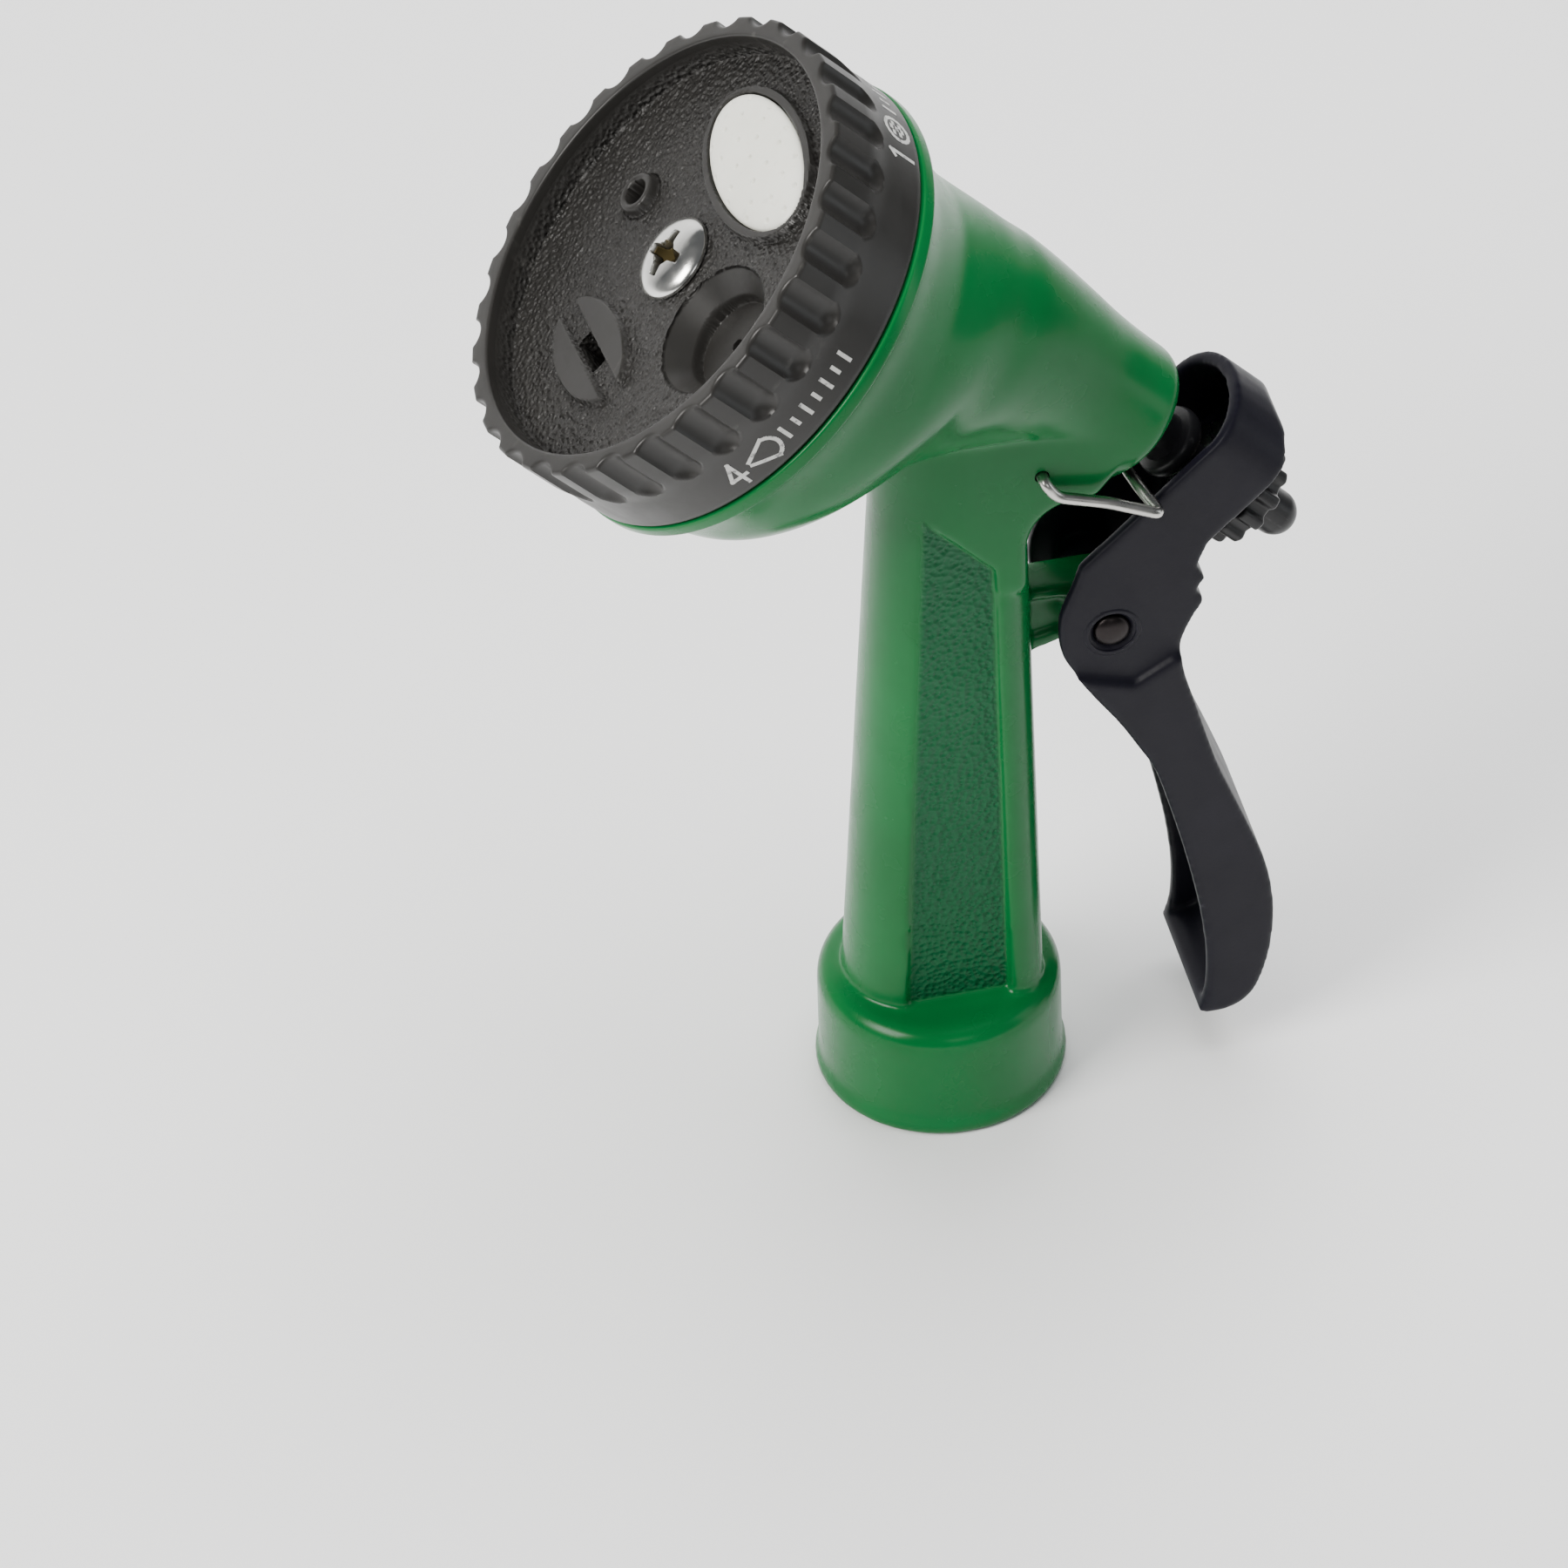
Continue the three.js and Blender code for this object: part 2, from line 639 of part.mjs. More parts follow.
function collar() {
  const shoulder = [];
  for (let i = 0; i <= 4; i++) {
    const angle = (Math.PI / 2) * (i / 4);
    shoulder.push([
      collarRadius - collarRound * (1 - Math.cos(angle)),
      collarHeight - collarRound * (1 - Math.sin(angle)),
    ]);
  }
  return turned([
    [0, 0], [lipRadius - 0.4, 0], [lipRadius, 0.4], [lipRadius, lipHeight - 0.6],
    [collarRadius, lipHeight], ...shoulder, [0, collarHeight],
  ], fine);
}

// the neck carries the handle's width up into the barrel and rounds off behind it
function neck() {
  const [endX, endZ] = fromHead(valveOffset - barrelRadius + 2, barrelEnd - 1.6);
  const [midX, midZ] = fromHead(valveOffset, barrelEnd - 1.4);
  const [topX, topZ] = fromHead(valveOffset + 1, 48);
  const rear = rearTop - 0.8;
  const outline = new THREE.Shape();
  outline.moveTo(neckFront, gripTop - 8);
  outline.lineTo(rear, gripTop - 8);
  outline.lineTo(rear, endZ - 5.5);
  outline.quadraticCurveTo(rear, endZ - 0.3, rear + 5.2, endZ - 0.2);
  outline.lineTo(endX, endZ);
  outline.lineTo(midX, midZ);
  outline.lineTo(topX, topZ);
  outline.lineTo(neckFront, neckFrontTop);
  outline.closePath();
  return slab(outline, neckWidth);
}

// arm and boss that carry the lever's pivot; the arm has a waist between its flanges
function bracket() {
  const root = pivotX - 15.4;
  const outline = new THREE.Shape();
  outline.moveTo(root, pivotZ - 6.4);
  outline.lineTo(rearTop + 0.3, pivotZ - 6.2);
  outline.quadraticCurveTo(rearTop + 3, pivotZ - 5, pivotX - 0.4, pivotZ - bracketBoss);
  outline.absarc(pivotX, pivotZ, bracketBoss, -Math.PI / 2, Math.PI / 2 + 0.1);
  outline.lineTo(rearTop + 0.3, pivotZ + 3.7);
  outline.lineTo(root, pivotZ + 3.9);
  outline.closePath();
  const waist = [
    [rearTop - 1, pivotZ - 4.4], [pivotX - 5, pivotZ - 3], [pivotX - 3.8, pivotZ - 1.4],
    [pivotX - 3.8, pivotZ + 1.2], [pivotX - 5, pivotZ + 2.1], [rearTop - 1, pivotZ + 2.2],
  ];
  const recess = cut(slab(waist, bracketWidth + 1), slab(waist, bracketWeb));
  return cut(slab(outline, bracketWidth), recess);
}

// outline of the recessed panel on each side of the grip
function panelCut() {
  const outline = [
    [-6.2, collarHeight + 0.05], [7.6, collarHeight + 0.05], [6.6, gripTop - 3.5], [-2.5, gripTop + 6],
  ];
  const wide = slab(outline, gripWidthFoot + 6);
  return cut(wide, slab(outline.map(([x, z]) => [x * 1.1, z]), gripWidthTop - 2 * panelDepth));
}

function inletSocket() {
  const seat = inletDepth - inletWasherThick;
  const profile = [[0, -1], [threadMajor + 0.5, -1], [threadMajor + 0.5, 0.4]];
  for (let z = 1; z + threadPitch < seat; z += threadPitch) {
    profile.push([threadMinor, z], [threadMajor, z + threadPitch / 2]);
  }
  profile.push([threadMinor, seat - 0.3], [threadMajor, seat], [threadMajor, inletDepth], [0, inletDepth]);
  return turned(profile, fine);
}

function body() {
  const [barrelX, barrelZ] = fromHead(valveOffset - 2, 53);
  const bendZ = gripTop + 5;
  const rise = Math.hypot(barrelX, barrelZ - bendZ);
  const lean = Math.atan2(barrelX, barrelZ - bendZ);
  const grip = loft([collarHeight - 1, collarHeight, gripTop, gripTop + 18].map(gripRing));
  const shell = join(
    collar(), grip, neck(), bracket(), inHead(skewed(headStations)),
  );
  const valveBore = rod(boreRadius, -barrelEnd - 1, -seatPlace).translate(valveOffset, 0, 0);
  const glandBore = rod(boreRadius + 1.2, -barrelEnd - 1, -barrelEnd + glandThreadLength)
    .translate(valveOffset, 0, 0);
  const seatHole = rod(seatHoleRadius, -seatPlace - 1, -seatPlace + seatThick + 1)
    .translate(valveOffset, 0, 0);
  const wireHoles = rod(wireRadius + 0.2, -neckWidth, neckWidth, 12).rotateX(Math.PI / 2)
    .translate(wireHoleUp, 0, -wireHolePlace);
  const wireCore = rod(wireRadius + 1, -neckWidth / 2 + 3, neckWidth / 2 - 3, 12).rotateX(Math.PI / 2)
    .translate(wireHoleUp, 0, -wireHolePlace);
  add('body', cut(
    shell,
    panelCut(),
    inletSocket(),
    rod(waterway, inletDepth - 1, bendZ + 1),
    rod(waterway, -1, rise).rotateY(lean).translate(0, 0, bendZ),
    inHead(headChamber()),
    inHead(valveBore),
    inHead(glandBore),
    inHead(seatHole),
    inHead(cut(wireHoles, wireCore)),
    rod(pinRadius + 0.05, -bracketWidth, bracketWidth).rotateX(Math.PI / 2).translate(pivotX, 0, pivotZ),
  ), green);
}

function inletWasher() {
  const top = inletDepth - gap;
  const ring = rod(threadMajor - gap, top - inletWasherThick + 0.6, top, fine, inletWasherInner);
  add('inlet_washer', ring, rubber);
}

// ---------------------------------------------------------------- valve

const sealFace = -seatPlace - gap;
const retainerBack = sealFace - valveSealLength - gap - retainerThick;
const glandFront = -barrelEnd + glandThreadLength - gap;
const springFront = retainerBack - gap;
const springBack = glandFront + gap;

function valve() {
  const onAxis = (geometry) => geometry.translate(valveOffset, 0, 0);
  // the stem's front pin carries the seal; the flange behind it carries the spring's load
  const flangeFrontZ = sealFace - valveSealLength - gap;
  const flangeBackZ = flangeFrontZ - retainerThick;
  addInHead('valve_stem', onAxis(turned([
    [0, -stemEnd], [stemRadius, -stemEnd], [stemRadius, flangeBackZ], [springRadius + 0.9, flangeBackZ],
    [springRadius + 0.9, flangeFrontZ], [1.2, flangeFrontZ], [1.2, sealFace + 2.2], [0, sealFace + 2.2],
  ])), black);
  addInHead('valve_seal', onAxis(turned([
    [1.5, sealFace - valveSealLength], [valveSealRadius, sealFace - valveSealLength],
    [valveSealRadius, sealFace], [seatHoleRadius - 0.6, sealFace],
    [2, sealFace + 1.6], [1.5, sealFace + 1.6],
  ])), rubber);
  const spring = coil(springRadius, springWire, springTurns, springFront - springBack);
  addInHead('valve_spring', onAxis(spring.translate(0, 0, springBack)), steel);

  const glandBack = -barrelEnd + gap;
  const ringSeat = glandFront - 1.6;
  const gland = turned([
    [stemRadius + 0.25, -glandNeckEnd], [glandRimRadius, -glandNeckEnd],
    [glandRimRadius, glandRimLength - glandNeckEnd], [glandNeckRadius, glandRimLength - glandNeckEnd],
    [glandNeckRadius, glandBack],
    [boreRadius + 1.2 - gap, glandBack], [boreRadius + 1.2 - gap, ringSeat - ringWire - 0.4],
    [boreRadius + 1.2 - ringWire - 0.2, ringSeat - ringWire - 0.4],
    [boreRadius + 1.2 - ringWire - 0.2, ringSeat], [boreRadius + 1.2 - gap, ringSeat],
    [boreRadius + 1.2 - gap, glandFront], [stemRadius + stemRingWire + 0.45, glandFront],
    [stemRadius + stemRingWire + 0.45, glandFront - stemRingWire - 0.8],
    [stemRadius + 0.25, glandFront - stemRingWire - 0.8],
  ]);
  addInHead('gland', onAxis(gland), black);
  const oRing = (mean, wire) => new THREE.TorusGeometry(mean, wire / 2, 6, plain);
  addInHead('gland_o_ring', onAxis(
    oRing(boreRadius + 1.2 - 0.05 - ringWire / 2, ringWire - 0.1)
      .translate(0, 0, ringSeat - 0.2 - ringWire / 2),
  ), rubber);
  addInHead('stem_o_ring', onAxis(
    oRing(stemRadius + 0.15 + stemRingWire / 2, stemRingWire - 0.1)
      .translate(0, 0, glandFront - 0.4 - stemRingWire / 2),
  ), rubber);
}

// star-shaped nut with a domed cap, on the stem's threaded end
function adjustingNut() {
  const front = -yokeRear - gap;
  const starFront = front - nutHub;
  const starBack = starFront - nutLength + nutHub;
  const outline = new THREE.Shape();
  const steps = nutLobes * 4;
  for (let i = 0; i < steps; i++) {
    const angle = (2 * Math.PI * i) / steps;
    const wave = Math.SQRT2 * Math.cos(nutLobes * angle + Math.PI / 4);
    const r = nutRadius - (nutLobeDepth * (1 - wave)) / 2;
    if (i === 0) outline.moveTo(r * Math.cos(angle), r * Math.sin(angle));
    else outline.lineTo(r * Math.cos(angle), r * Math.sin(angle));
  }
  outline.closePath();
  const domeCentre = -nutCapEnd + nutCapRadius;
  const cap = [[0, -nutCapEnd]];
  for (let i = 1; i <= 5; i++) {
    const angle = (Math.PI / 2) * (i / 5);
    cap.push([nutCapRadius * Math.sin(angle), domeCentre - nutCapRadius * Math.cos(angle)]);
  }
  const nut = cut(
    join(
      plateOf(outline, starBack, starFront),
      rod(nutHubRadius, starFront - 0.5, front),
      turned([...cap, [nutCapRadius, starBack + 0.5], [0, starBack + 0.5]]),
    ),
    rod(stemRadius + 0.05, -stemEnd - gap, front + 1),
  );
  addInHead('adjusting_nut', nut.translate(valveOffset, 0, 0), black);
}

function yokeWasher() {
  const back = -yokeRear + leverWall + gap;
  const ring = rod(yokeWasherRadius, back, back + yokeWasherThick, plain, stemRadius + 1);
  addInHead('yoke_washer', ring.translate(valveOffset, 0, 0), steel);
}

// ---------------------------------------------------------------- lever, pin and wire

// the outlines below are drawn for this pivot, and leverPlace() moves them to the real one:
// the blade stretches with the handle, and what is above the pivot keeps its shape
const drawnPivot = [21.4, 75];

function leverPlace([x, z]) {
  const height = z < drawnPivot[1] ? (z * pivotZ) / drawnPivot[1] : z + pivotZ - drawnPivot[1];
  return [x + pivotX - drawnPivot[0], height];
}

const leverFront = [
  [16.5, 82.8], [14.9, 78.6], [14.6, 75.4], [15.2, 71.7], [16.9, 68.4], [19.2, 64.6], [21.8, 60.6],
  [24.2, 56.2], [26.6, 51.4], [28.5, 44.8], [30.3, 37.6], [31.8, 30.5], [32.9, 24], [33.6, 16],
  [33.2, 10.5], [32.4, 7.8],
];
const leverRear = [
  [33.6, 7.4], [36.6, 7.6], [39.4, 9.4], [41.7, 15.5], [42.4, 24.1], [41.4, 31.6], [38.6, 40.2],
  [34.9, 50.4], [32.2, 60.4], [30.3, 68], [30.4, 71.6], [32, 75.4],
];
// two finger stops on the back of the lever
const leverStops = [[33.3, 77.5], [32.2, 79.4], [33.4, 81], [32.3, 83.2]];
// the line where the wide finger blade ends and the narrower cheeks begin
const leverShoulder = [[10, 71], [24, 66.5], [29, 69.5], [50, 72], [80, 130], [10, 130]];
// rear line of the hollow in front of the blade's and yoke's back wall
const hollowRear = [
  [28, 6.5], [33.4, 9.4], [36.4, 10.2], [38, 11.8], [39.7, 16.4], [40.4, 24.1], [39.5, 31.2],
  [37, 39.6], [33.3, 49.8], [30.3, 59.8], [28.4, 67.6], [28.3, 72], [29.6, 76.5],
];
// the part of the hollow below the yoke
const hollowLow = [[0, 0], [60, 0], [60, 66], [23, 62], [0, 64]];

// tombstone section across the yoke: flat sides and a rounded top
function yokeArch(half, top, corner) {
  const shape = new THREE.Shape();
  shape.moveTo(-30, -half);
  shape.lineTo(top - corner, -half);
  shape.absellipse(top - corner, 0, corner, half, -Math.PI / 2, Math.PI / 2, false, 0);
  shape.lineTo(-30, half);
  shape.closePath();
  return plateOf(shape, -200, -yokeFront + 20, 7);
}

function lever() {
  const yokeCorner = fromHead(yokeTop, yokeFront);
  const hoodBack = [
    fromHead(valveOffset - 4.9, yokeRear), fromHead(yokeTop - 4, yokeRear),
    fromHead(yokeTop - 1.2, yokeRear - 1.6),
    fromHead(yokeTop, yokeRear - 4.5),
  ];
  const [cheekX, cheekZ] = fromHead(valveOffset - 17.3, yokeFront);
  const outerLine = [
    ...smooth([[cheekX, cheekZ], ...leverFront.map(leverPlace)], 44),
    ...smooth(leverRear.map(leverPlace), 34), ...leverStops.map(leverPlace), ...hoodBack, yokeCorner,
  ];
  const outer = slab(outerLine, bladeWidth);
  // the yoke and cheeks are narrower than the finger blade
  const step = (bladeWidth - yokeWidth) / 2 + 1;
  const side = (sign) => slab(leverShoulder.map(leverPlace), step)
    .translate(0, sign * (yokeWidth + step) / 2, 0);
  const arch = inHead(yokeArch(yokeWidth / 2, yokeTop, 7));
  const low = -10;
  const high = pivotZ - 2;
  const below = new THREE.BoxGeometry(120, 60, high - low).translate(0, 0, (high + low) / 2);
  const upper = common(cut(outer, side(1), side(-1)), join(arch, below));

  // the hollow: everything in front of the back wall
  const wall = leverWall + 0.2;
  const hollowTop = [
    fromHead(valveOffset - 3.9, yokeRear - wall), fromHead(yokeTop - 5, yokeRear - wall),
    fromHead(yokeTop - leverWall, yokeRear - 6), fromHead(yokeTop - leverWall, yokeFront - 12),
  ];
  const hollowLine = [
    leverPlace([4, 6.5]), ...smooth(hollowRear.map(leverPlace), 40), ...hollowTop, leverPlace([4, 100]),
  ];
  const wide = slab(hollowLine, bladeWidth - 2 * leverWall);
  const archIn = inHead(yokeArch(yokeWidth / 2 - leverWall, yokeTop - leverWall, 5.6));
  const hollow = common(wide, join(archIn, slab(hollowLow.map(leverPlace), bladeWidth)));

  const pinHole = rod(pinRadius + 0.05, -bladeWidth, bladeWidth).rotateX(Math.PI / 2)
    .translate(pivotX, 0, pivotZ);
  const innerBoss = (sign) => {
    const from = bracketWidth / 2 + gap;
    const to = yokeWidth / 2 - pinRecess;
    return rod(3.4, from, to).rotateX(-Math.PI / 2 * sign).translate(pivotX, 0, pivotZ);
  };
  const slot = plateOf(new THREE.Shape([
    new THREE.Vector2(-2.4, -2.4), new THREE.Vector2(3.2, -2.4),
    new THREE.Vector2(3.2, 2.4), new THREE.Vector2(-2.4, 2.4),
  ]), -yokeRear - 1, -yokeRear + 4).translate(valveOffset, 0, 0);
  const recess = (sign) => rod(pinHeadRadius + gap, yokeWidth / 2 - pinRecess, bladeWidth)
    .rotateX(-Math.PI / 2 * sign).translate(pivotX, 0, pivotZ);
  const shaped = join(cut(upper, hollow), innerBoss(1), innerBoss(-1));
  add('lever', cut(shaped, pinHole, recess(1), recess(-1), inHead(slot)), black);
}

// headed pin through the lever and the bracket; its tail is riveted over
function pivotPin() {
  const half = yokeWidth / 2 - pinRecess + gap;
  const pin = turned([
    [0, -half - pinHeadHeight], [pinHeadRadius * 0.7, -half - pinHeadHeight + 0.15],
    [pinHeadRadius, -half - 0.4], [pinHeadRadius, -half], [pinRadius, -half], [pinRadius, half],
    [pinHeadRadius * 0.8, half], [pinHeadRadius * 0.8, half + 0.4], [0, half + 0.7],
  ]);
  add('pivot_pin', pin.rotateX(-Math.PI / 2).translate(pivotX, 0, pivotZ), blackened);
}

// wire loop that drops behind the barrel to hold the lever squeezed
function holdOpenWire() {
  const inside = neckWidth / 2 - 2.4;
  const half = [
    [wireHoleUp, -inside, wireHolePlace], [wireHoleUp, -neckWidth / 2 - 0.9, wireHolePlace],
    [wireHoleUp - 0.3, -neckWidth / 2 - 1.5, wireHolePlace + 1.4],
    [wireHoleUp + 2.8, -neckWidth / 2 - 2.2, wireHolePlace + 6.9],
    [wireHoleUp + 3.8, -neckWidth / 2 - 2.6, wireHolePlace + 11.2],
    [wireCornerUp - 0.3, -wireSpread, wireCornerPlace - 1],
    [wireCornerUp, -wireSpread + 0.7, wireCornerPlace],
    [wireCrossUp + 0.6, -yokeWidth / 2, wireCrossPlace + 1.1],
    [wireCrossUp, -yokeWidth / 4, wireCrossPlace],
  ];
  const points = [...half, ...half.map(([up, y, back]) => [up, -y, back]).reverse()];
  const at = ([up, y, back]) => new THREE.Vector3(up, y, -back);
  const rings = points.map((point, i) => {
    const here = at(point);
    const before = i > 0 ? here.clone().sub(at(points[i - 1])).normalize() : null;
    const after = i + 1 < points.length ? at(points[i + 1]).sub(here).normalize() : null;
    const along = new THREE.Vector3();
    if (before) along.add(before);
    if (after) along.add(after);
    along.normalize();
    const widen = before ? 1 / Math.max(0.7, before.dot(along)) : 1;
    const side = new THREE.Vector3(0.25, 0.1, 1).cross(along).normalize();
    const other = along.clone().cross(side).normalize();
    return Array.from({ length: 8 }, (_, k) => {
      const angle = (2 * Math.PI * k) / 8;
      return here.clone()
        .addScaledVector(side, wireRadius * widen * Math.cos(angle))
        .addScaledVector(other, wireRadius * Math.sin(angle));
    });
  });
  addInHead('hold_open_wire', loft(rings), steel);
}

// ---------------------------------------------------------------- assembly

selectorDial();
roseDisc();
dialBackPlate();
dialScrew();
dialWasher();
outletPlate();
outletSeal();
detent();
body();
inletWasher();
valve();
adjustingNut();
yokeWasher();
lever();
pivotPin();
holdOpenWire();

export default group;
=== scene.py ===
"""Looks for the hose spray gun: a finer mesh for each visible piece, materials, floor, light, camera.

Lengths below are millimetres, turned to metres when a mesh is made. The head's pieces are drawn
in the head's own frame: X up across the dial, Y across the gun, Z out along the spray axis, with
z = 0 on the dial's front rim. in_head() turns such points into the row frame.
"""

import math

import bmesh
import bpy
import numpy as np
from mathutils import Matrix, Vector
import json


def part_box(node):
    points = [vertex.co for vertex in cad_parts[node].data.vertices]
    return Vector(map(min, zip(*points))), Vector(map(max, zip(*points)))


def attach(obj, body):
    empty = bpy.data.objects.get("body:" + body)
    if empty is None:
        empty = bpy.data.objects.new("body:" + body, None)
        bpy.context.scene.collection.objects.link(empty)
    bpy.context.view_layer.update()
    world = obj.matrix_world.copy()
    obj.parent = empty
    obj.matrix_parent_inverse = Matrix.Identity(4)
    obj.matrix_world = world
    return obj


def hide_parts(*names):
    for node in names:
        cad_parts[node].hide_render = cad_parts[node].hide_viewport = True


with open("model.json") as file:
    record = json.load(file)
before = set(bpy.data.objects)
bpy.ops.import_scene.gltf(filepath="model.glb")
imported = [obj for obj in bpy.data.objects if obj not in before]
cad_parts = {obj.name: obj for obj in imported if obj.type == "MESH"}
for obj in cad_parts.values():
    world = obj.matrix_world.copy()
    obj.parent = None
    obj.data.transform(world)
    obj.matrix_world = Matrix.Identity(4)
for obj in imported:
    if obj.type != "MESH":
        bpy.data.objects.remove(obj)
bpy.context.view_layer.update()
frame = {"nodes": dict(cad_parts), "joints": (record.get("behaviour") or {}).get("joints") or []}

MM = 0.001
JOINTS = {joint["name"]: joint for joint in frame["joints"]}


def middle(node):
    low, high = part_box(node)
    return [(a + b) / 2 / MM for a, b in zip(low, high)]


def joint_point(name):
    return np.array(JOINTS[name]["pos_m"]) / MM


HANDLE_X = middle("inlet_washer")[0]
SPRAY = np.array(JOINTS["dial_turn"]["axis"])
SIDE = np.array([0.0, 1.0, 0.0])
ACROSS = np.cross(SIDE, SPRAY)
DIAL_CENTRE = joint_point("dial_turn")
PIVOT = joint_point("lever_squeeze")
WIRE_HOLE = joint_point("wire_swing")
VALVE_UP = float(np.dot(joint_point("nut_turn") - DIAL_CENTRE, ACROSS))

# ------------------------------------------------------------------ sizes

FACE = -4.4                  # dial face behind the rim
DIAL_DEPTH = 14.9
BAND_RADIUS = 30.3
LOBES = 30
LOBE_STAND = 0.35            # lobes stand this far out of the band
GROOVE_DEPTH = 1.15
GROOVE_HALF = 2.1
GROOVE_END = -6.3            # centre of the groove's round end
RIM_INNER = 27.9
DIAL_TURN = math.radians(-6)

ROSE_CIRCLE, ROSE_HALF, ROSE_RING = 15.6, (6.3, 13.0), 1.45
JET_CIRCLE, JET_RADIUS, JET_HOLE, JET_HEIGHT = 14.6, 2.75, 1.6, 1.4
FAN_CIRCLE, FAN_HALF, FAN_HEIGHT = 15.3, (5.3, 9.6), 0.9
FAN_SLOT, FAN_HOLE = 1.35, (1.0, 3.0)      # half widths of the slot, and of the hole in it
CONE_CIRCLE, CONE_RADIUS, CONE_FLOOR, CONE_HOLE = 15.5, 8.4, 5.9, 0.7

GRIP_FOOT, GRIP_TOP = 17.0, 92.0
PANEL = [(-6.2, 17.3), (7.5, 17.3), (6.6, 88.5), (-2.5, 98.0)]
PANEL_DEPTH = 1.3
NECK_WIDTH = 19.0
BARREL_END, BARREL_ROUND = 68.6, 1.9
BORE = 7.5                   # mouth of the gland's bore in the barrel's end
WATERWAY = 4.3
VOXEL = 0.36                 # grid that fuses the shell's shapes and rounds the lever

# ------------------------------------------------------------------ mesh helpers


def in_head(points):
    p = np.asarray(points, dtype=float)
    return DIAL_CENTRE + p[..., :1] * ACROSS + p[..., 1:2] * SIDE + p[..., 2:3] * SPRAY


def on_handle(points):
    return np.asarray(points, dtype=float) + np.array([HANDLE_X, 0, 0])


def from_head(up, back):
    """(x, z) off the handle's axis of a point in the head's frame."""
    p = in_head([up, 0, -back])
    return p[0] - HANDLE_X, p[2]


def smooth_step(x):
    t = np.clip(x, 0, 1)
    return t * t * (3 - 2 * t)


def new_object(name, verts, faces):
    mesh = bpy.data.meshes.new(name)
    mesh.from_pydata((np.asarray(verts) * MM).tolist(), [], faces)
    mesh.validate()
    obj = bpy.data.objects.new(name, mesh)
    bpy.context.scene.collection.objects.link(obj)
    return obj


def sheet_of_rings(name, rings, place, close=False):
    """Closed mesh through rings of points; the first and last rings are capped with a point,
    or joined to each other when close is set."""
    rings = np.asarray(rings, dtype=float)
    rows, cols, _ = rings.shape
    verts = rings.reshape(-1, 3)
    i, j = np.meshgrid(np.arange(rows if close else rows - 1), np.arange(cols), indexing="ij")
    a = i * cols + j
    b = i * cols + (j + 1) % cols
    c = ((i + 1) % rows) * cols + (j + 1) % cols
    d = ((i + 1) % rows) * cols + j
    faces = np.stack([a, b, c, d], -1).reshape(-1, 4).tolist()
    if not close:
        verts = np.vstack([verts, rings[0].mean(0), rings[-1].mean(0)])
        first, last = rows * cols, rows * cols + 1
        top = (rows - 1) * cols
        for k in range(cols):
            n = (k + 1) % cols
            faces.append([first, n, k])
            faces.append([last, top + k, top + n])
    obj = new_object(name, place(verts), faces)
    outward(obj)
    return obj


def outward(obj):
    bm = bmesh.new()
    bm.from_mesh(obj.data)
    bmesh.ops.recalc_face_normals(bm, faces=bm.faces)
    bm.to_mesh(obj.data)
    bm.free()


def lathe(name, profile, place, sides=96, centre=(0, 0), close=False):
    """Body of revolution about Z through (radius, z) points."""
    angle = np.linspace(0, 2 * math.pi, sides, endpoint=False)
    rings = [np.stack([centre[0] + r * np.cos(angle), centre[1] + r * np.sin(angle),
                       np.full(sides, float(z))], -1) for r, z in profile]
    return sheet_of_rings(name, rings, place, close)


def rounded(profile, radius, steps=5, close=False):
    """A profile with each inner corner replaced by a small arc-like curve."""
    points = [np.array(p, dtype=float) for p in profile]
    count = len(points)
    result = [] if close else [tuple(points[0])]
    for i in (range(count) if close else range(1, count - 1)):
        before, here, after = points[i - 1], points[i], points[(i + 1) % count]
        a, b = before - here, after - here
        la, lb = np.linalg.norm(a), np.linalg.norm(b)
        r = min(radius, 0.45 * la, 0.45 * lb)
        start, end = here + a / la * r, here + b / lb * r
        for k in range(steps + 1):
            t = k / steps
            result.append(tuple((1 - t) ** 2 * start + 2 * t * (1 - t) * here + t * t * end))
    if not close:
        result.append(tuple(points[-1]))
    return result


def spline(points, count):
    """Catmull-Rom curve through points, evenly sampled in its parameter."""
    p = np.asarray(points, dtype=float)
    p = np.vstack([2 * p[0] - p[1], p, 2 * p[-1] - p[-2]])
    t = np.linspace(0, len(p) - 3 - 1e-9, count)
    k = t.astype(int)
    f = (t - k)[:, None]
    a, b, c, d = p[k], p[k + 1], p[k + 2], p[k + 3]
    return 0.5 * (2 * b + (c - a) * f + (2 * a - 5 * b + 4 * c - d) * f ** 2
                  + (3 * b - a - 3 * c + d) * f ** 3)


def slab(name, outline, width, place=on_handle):
    """Plate with an outline in X and Z, centred on y = 0."""
    outline = np.asarray(outline, dtype=float)
    count = len(outline)
    verts = [(x, y, z) for y in (-width / 2, width / 2) for x, z in outline]
    faces = [list(range(count)), list(range(2 * count - 1, count - 1, -1))]
    faces += [[k, k + count, (k + 1) % count + count, (k + 1) % count] for k in range(count)]
    obj = new_object(name, place(verts), faces)
    outward(obj)
    return obj


def applied(obj):
    """Turns an object's modifiers into its mesh."""
    depsgraph = bpy.context.evaluated_depsgraph_get()
    mesh = bpy.data.meshes.new_from_object(obj.evaluated_get(depsgraph))
    obj.modifiers.clear()
    obj.data = mesh
    return obj


def paint(obj, name, values):
    """Stores one number per vertex for the material to read."""
    layer = obj.data.attributes.new(name, "FLOAT", "POINT")
    layer.data.foreach_set("value", np.asarray(values, dtype=np.float32))


def drop(obj):
    bpy.data.objects.remove(obj, do_unlink=True)


def boolean(obj, tool, operation="DIFFERENCE"):
    modifier = obj.modifiers.new("cut", "BOOLEAN")
    modifier.operation = operation
    modifier.object = tool
    modifier.solver = "EXACT"
    applied(obj)
    drop(tool)
    return obj


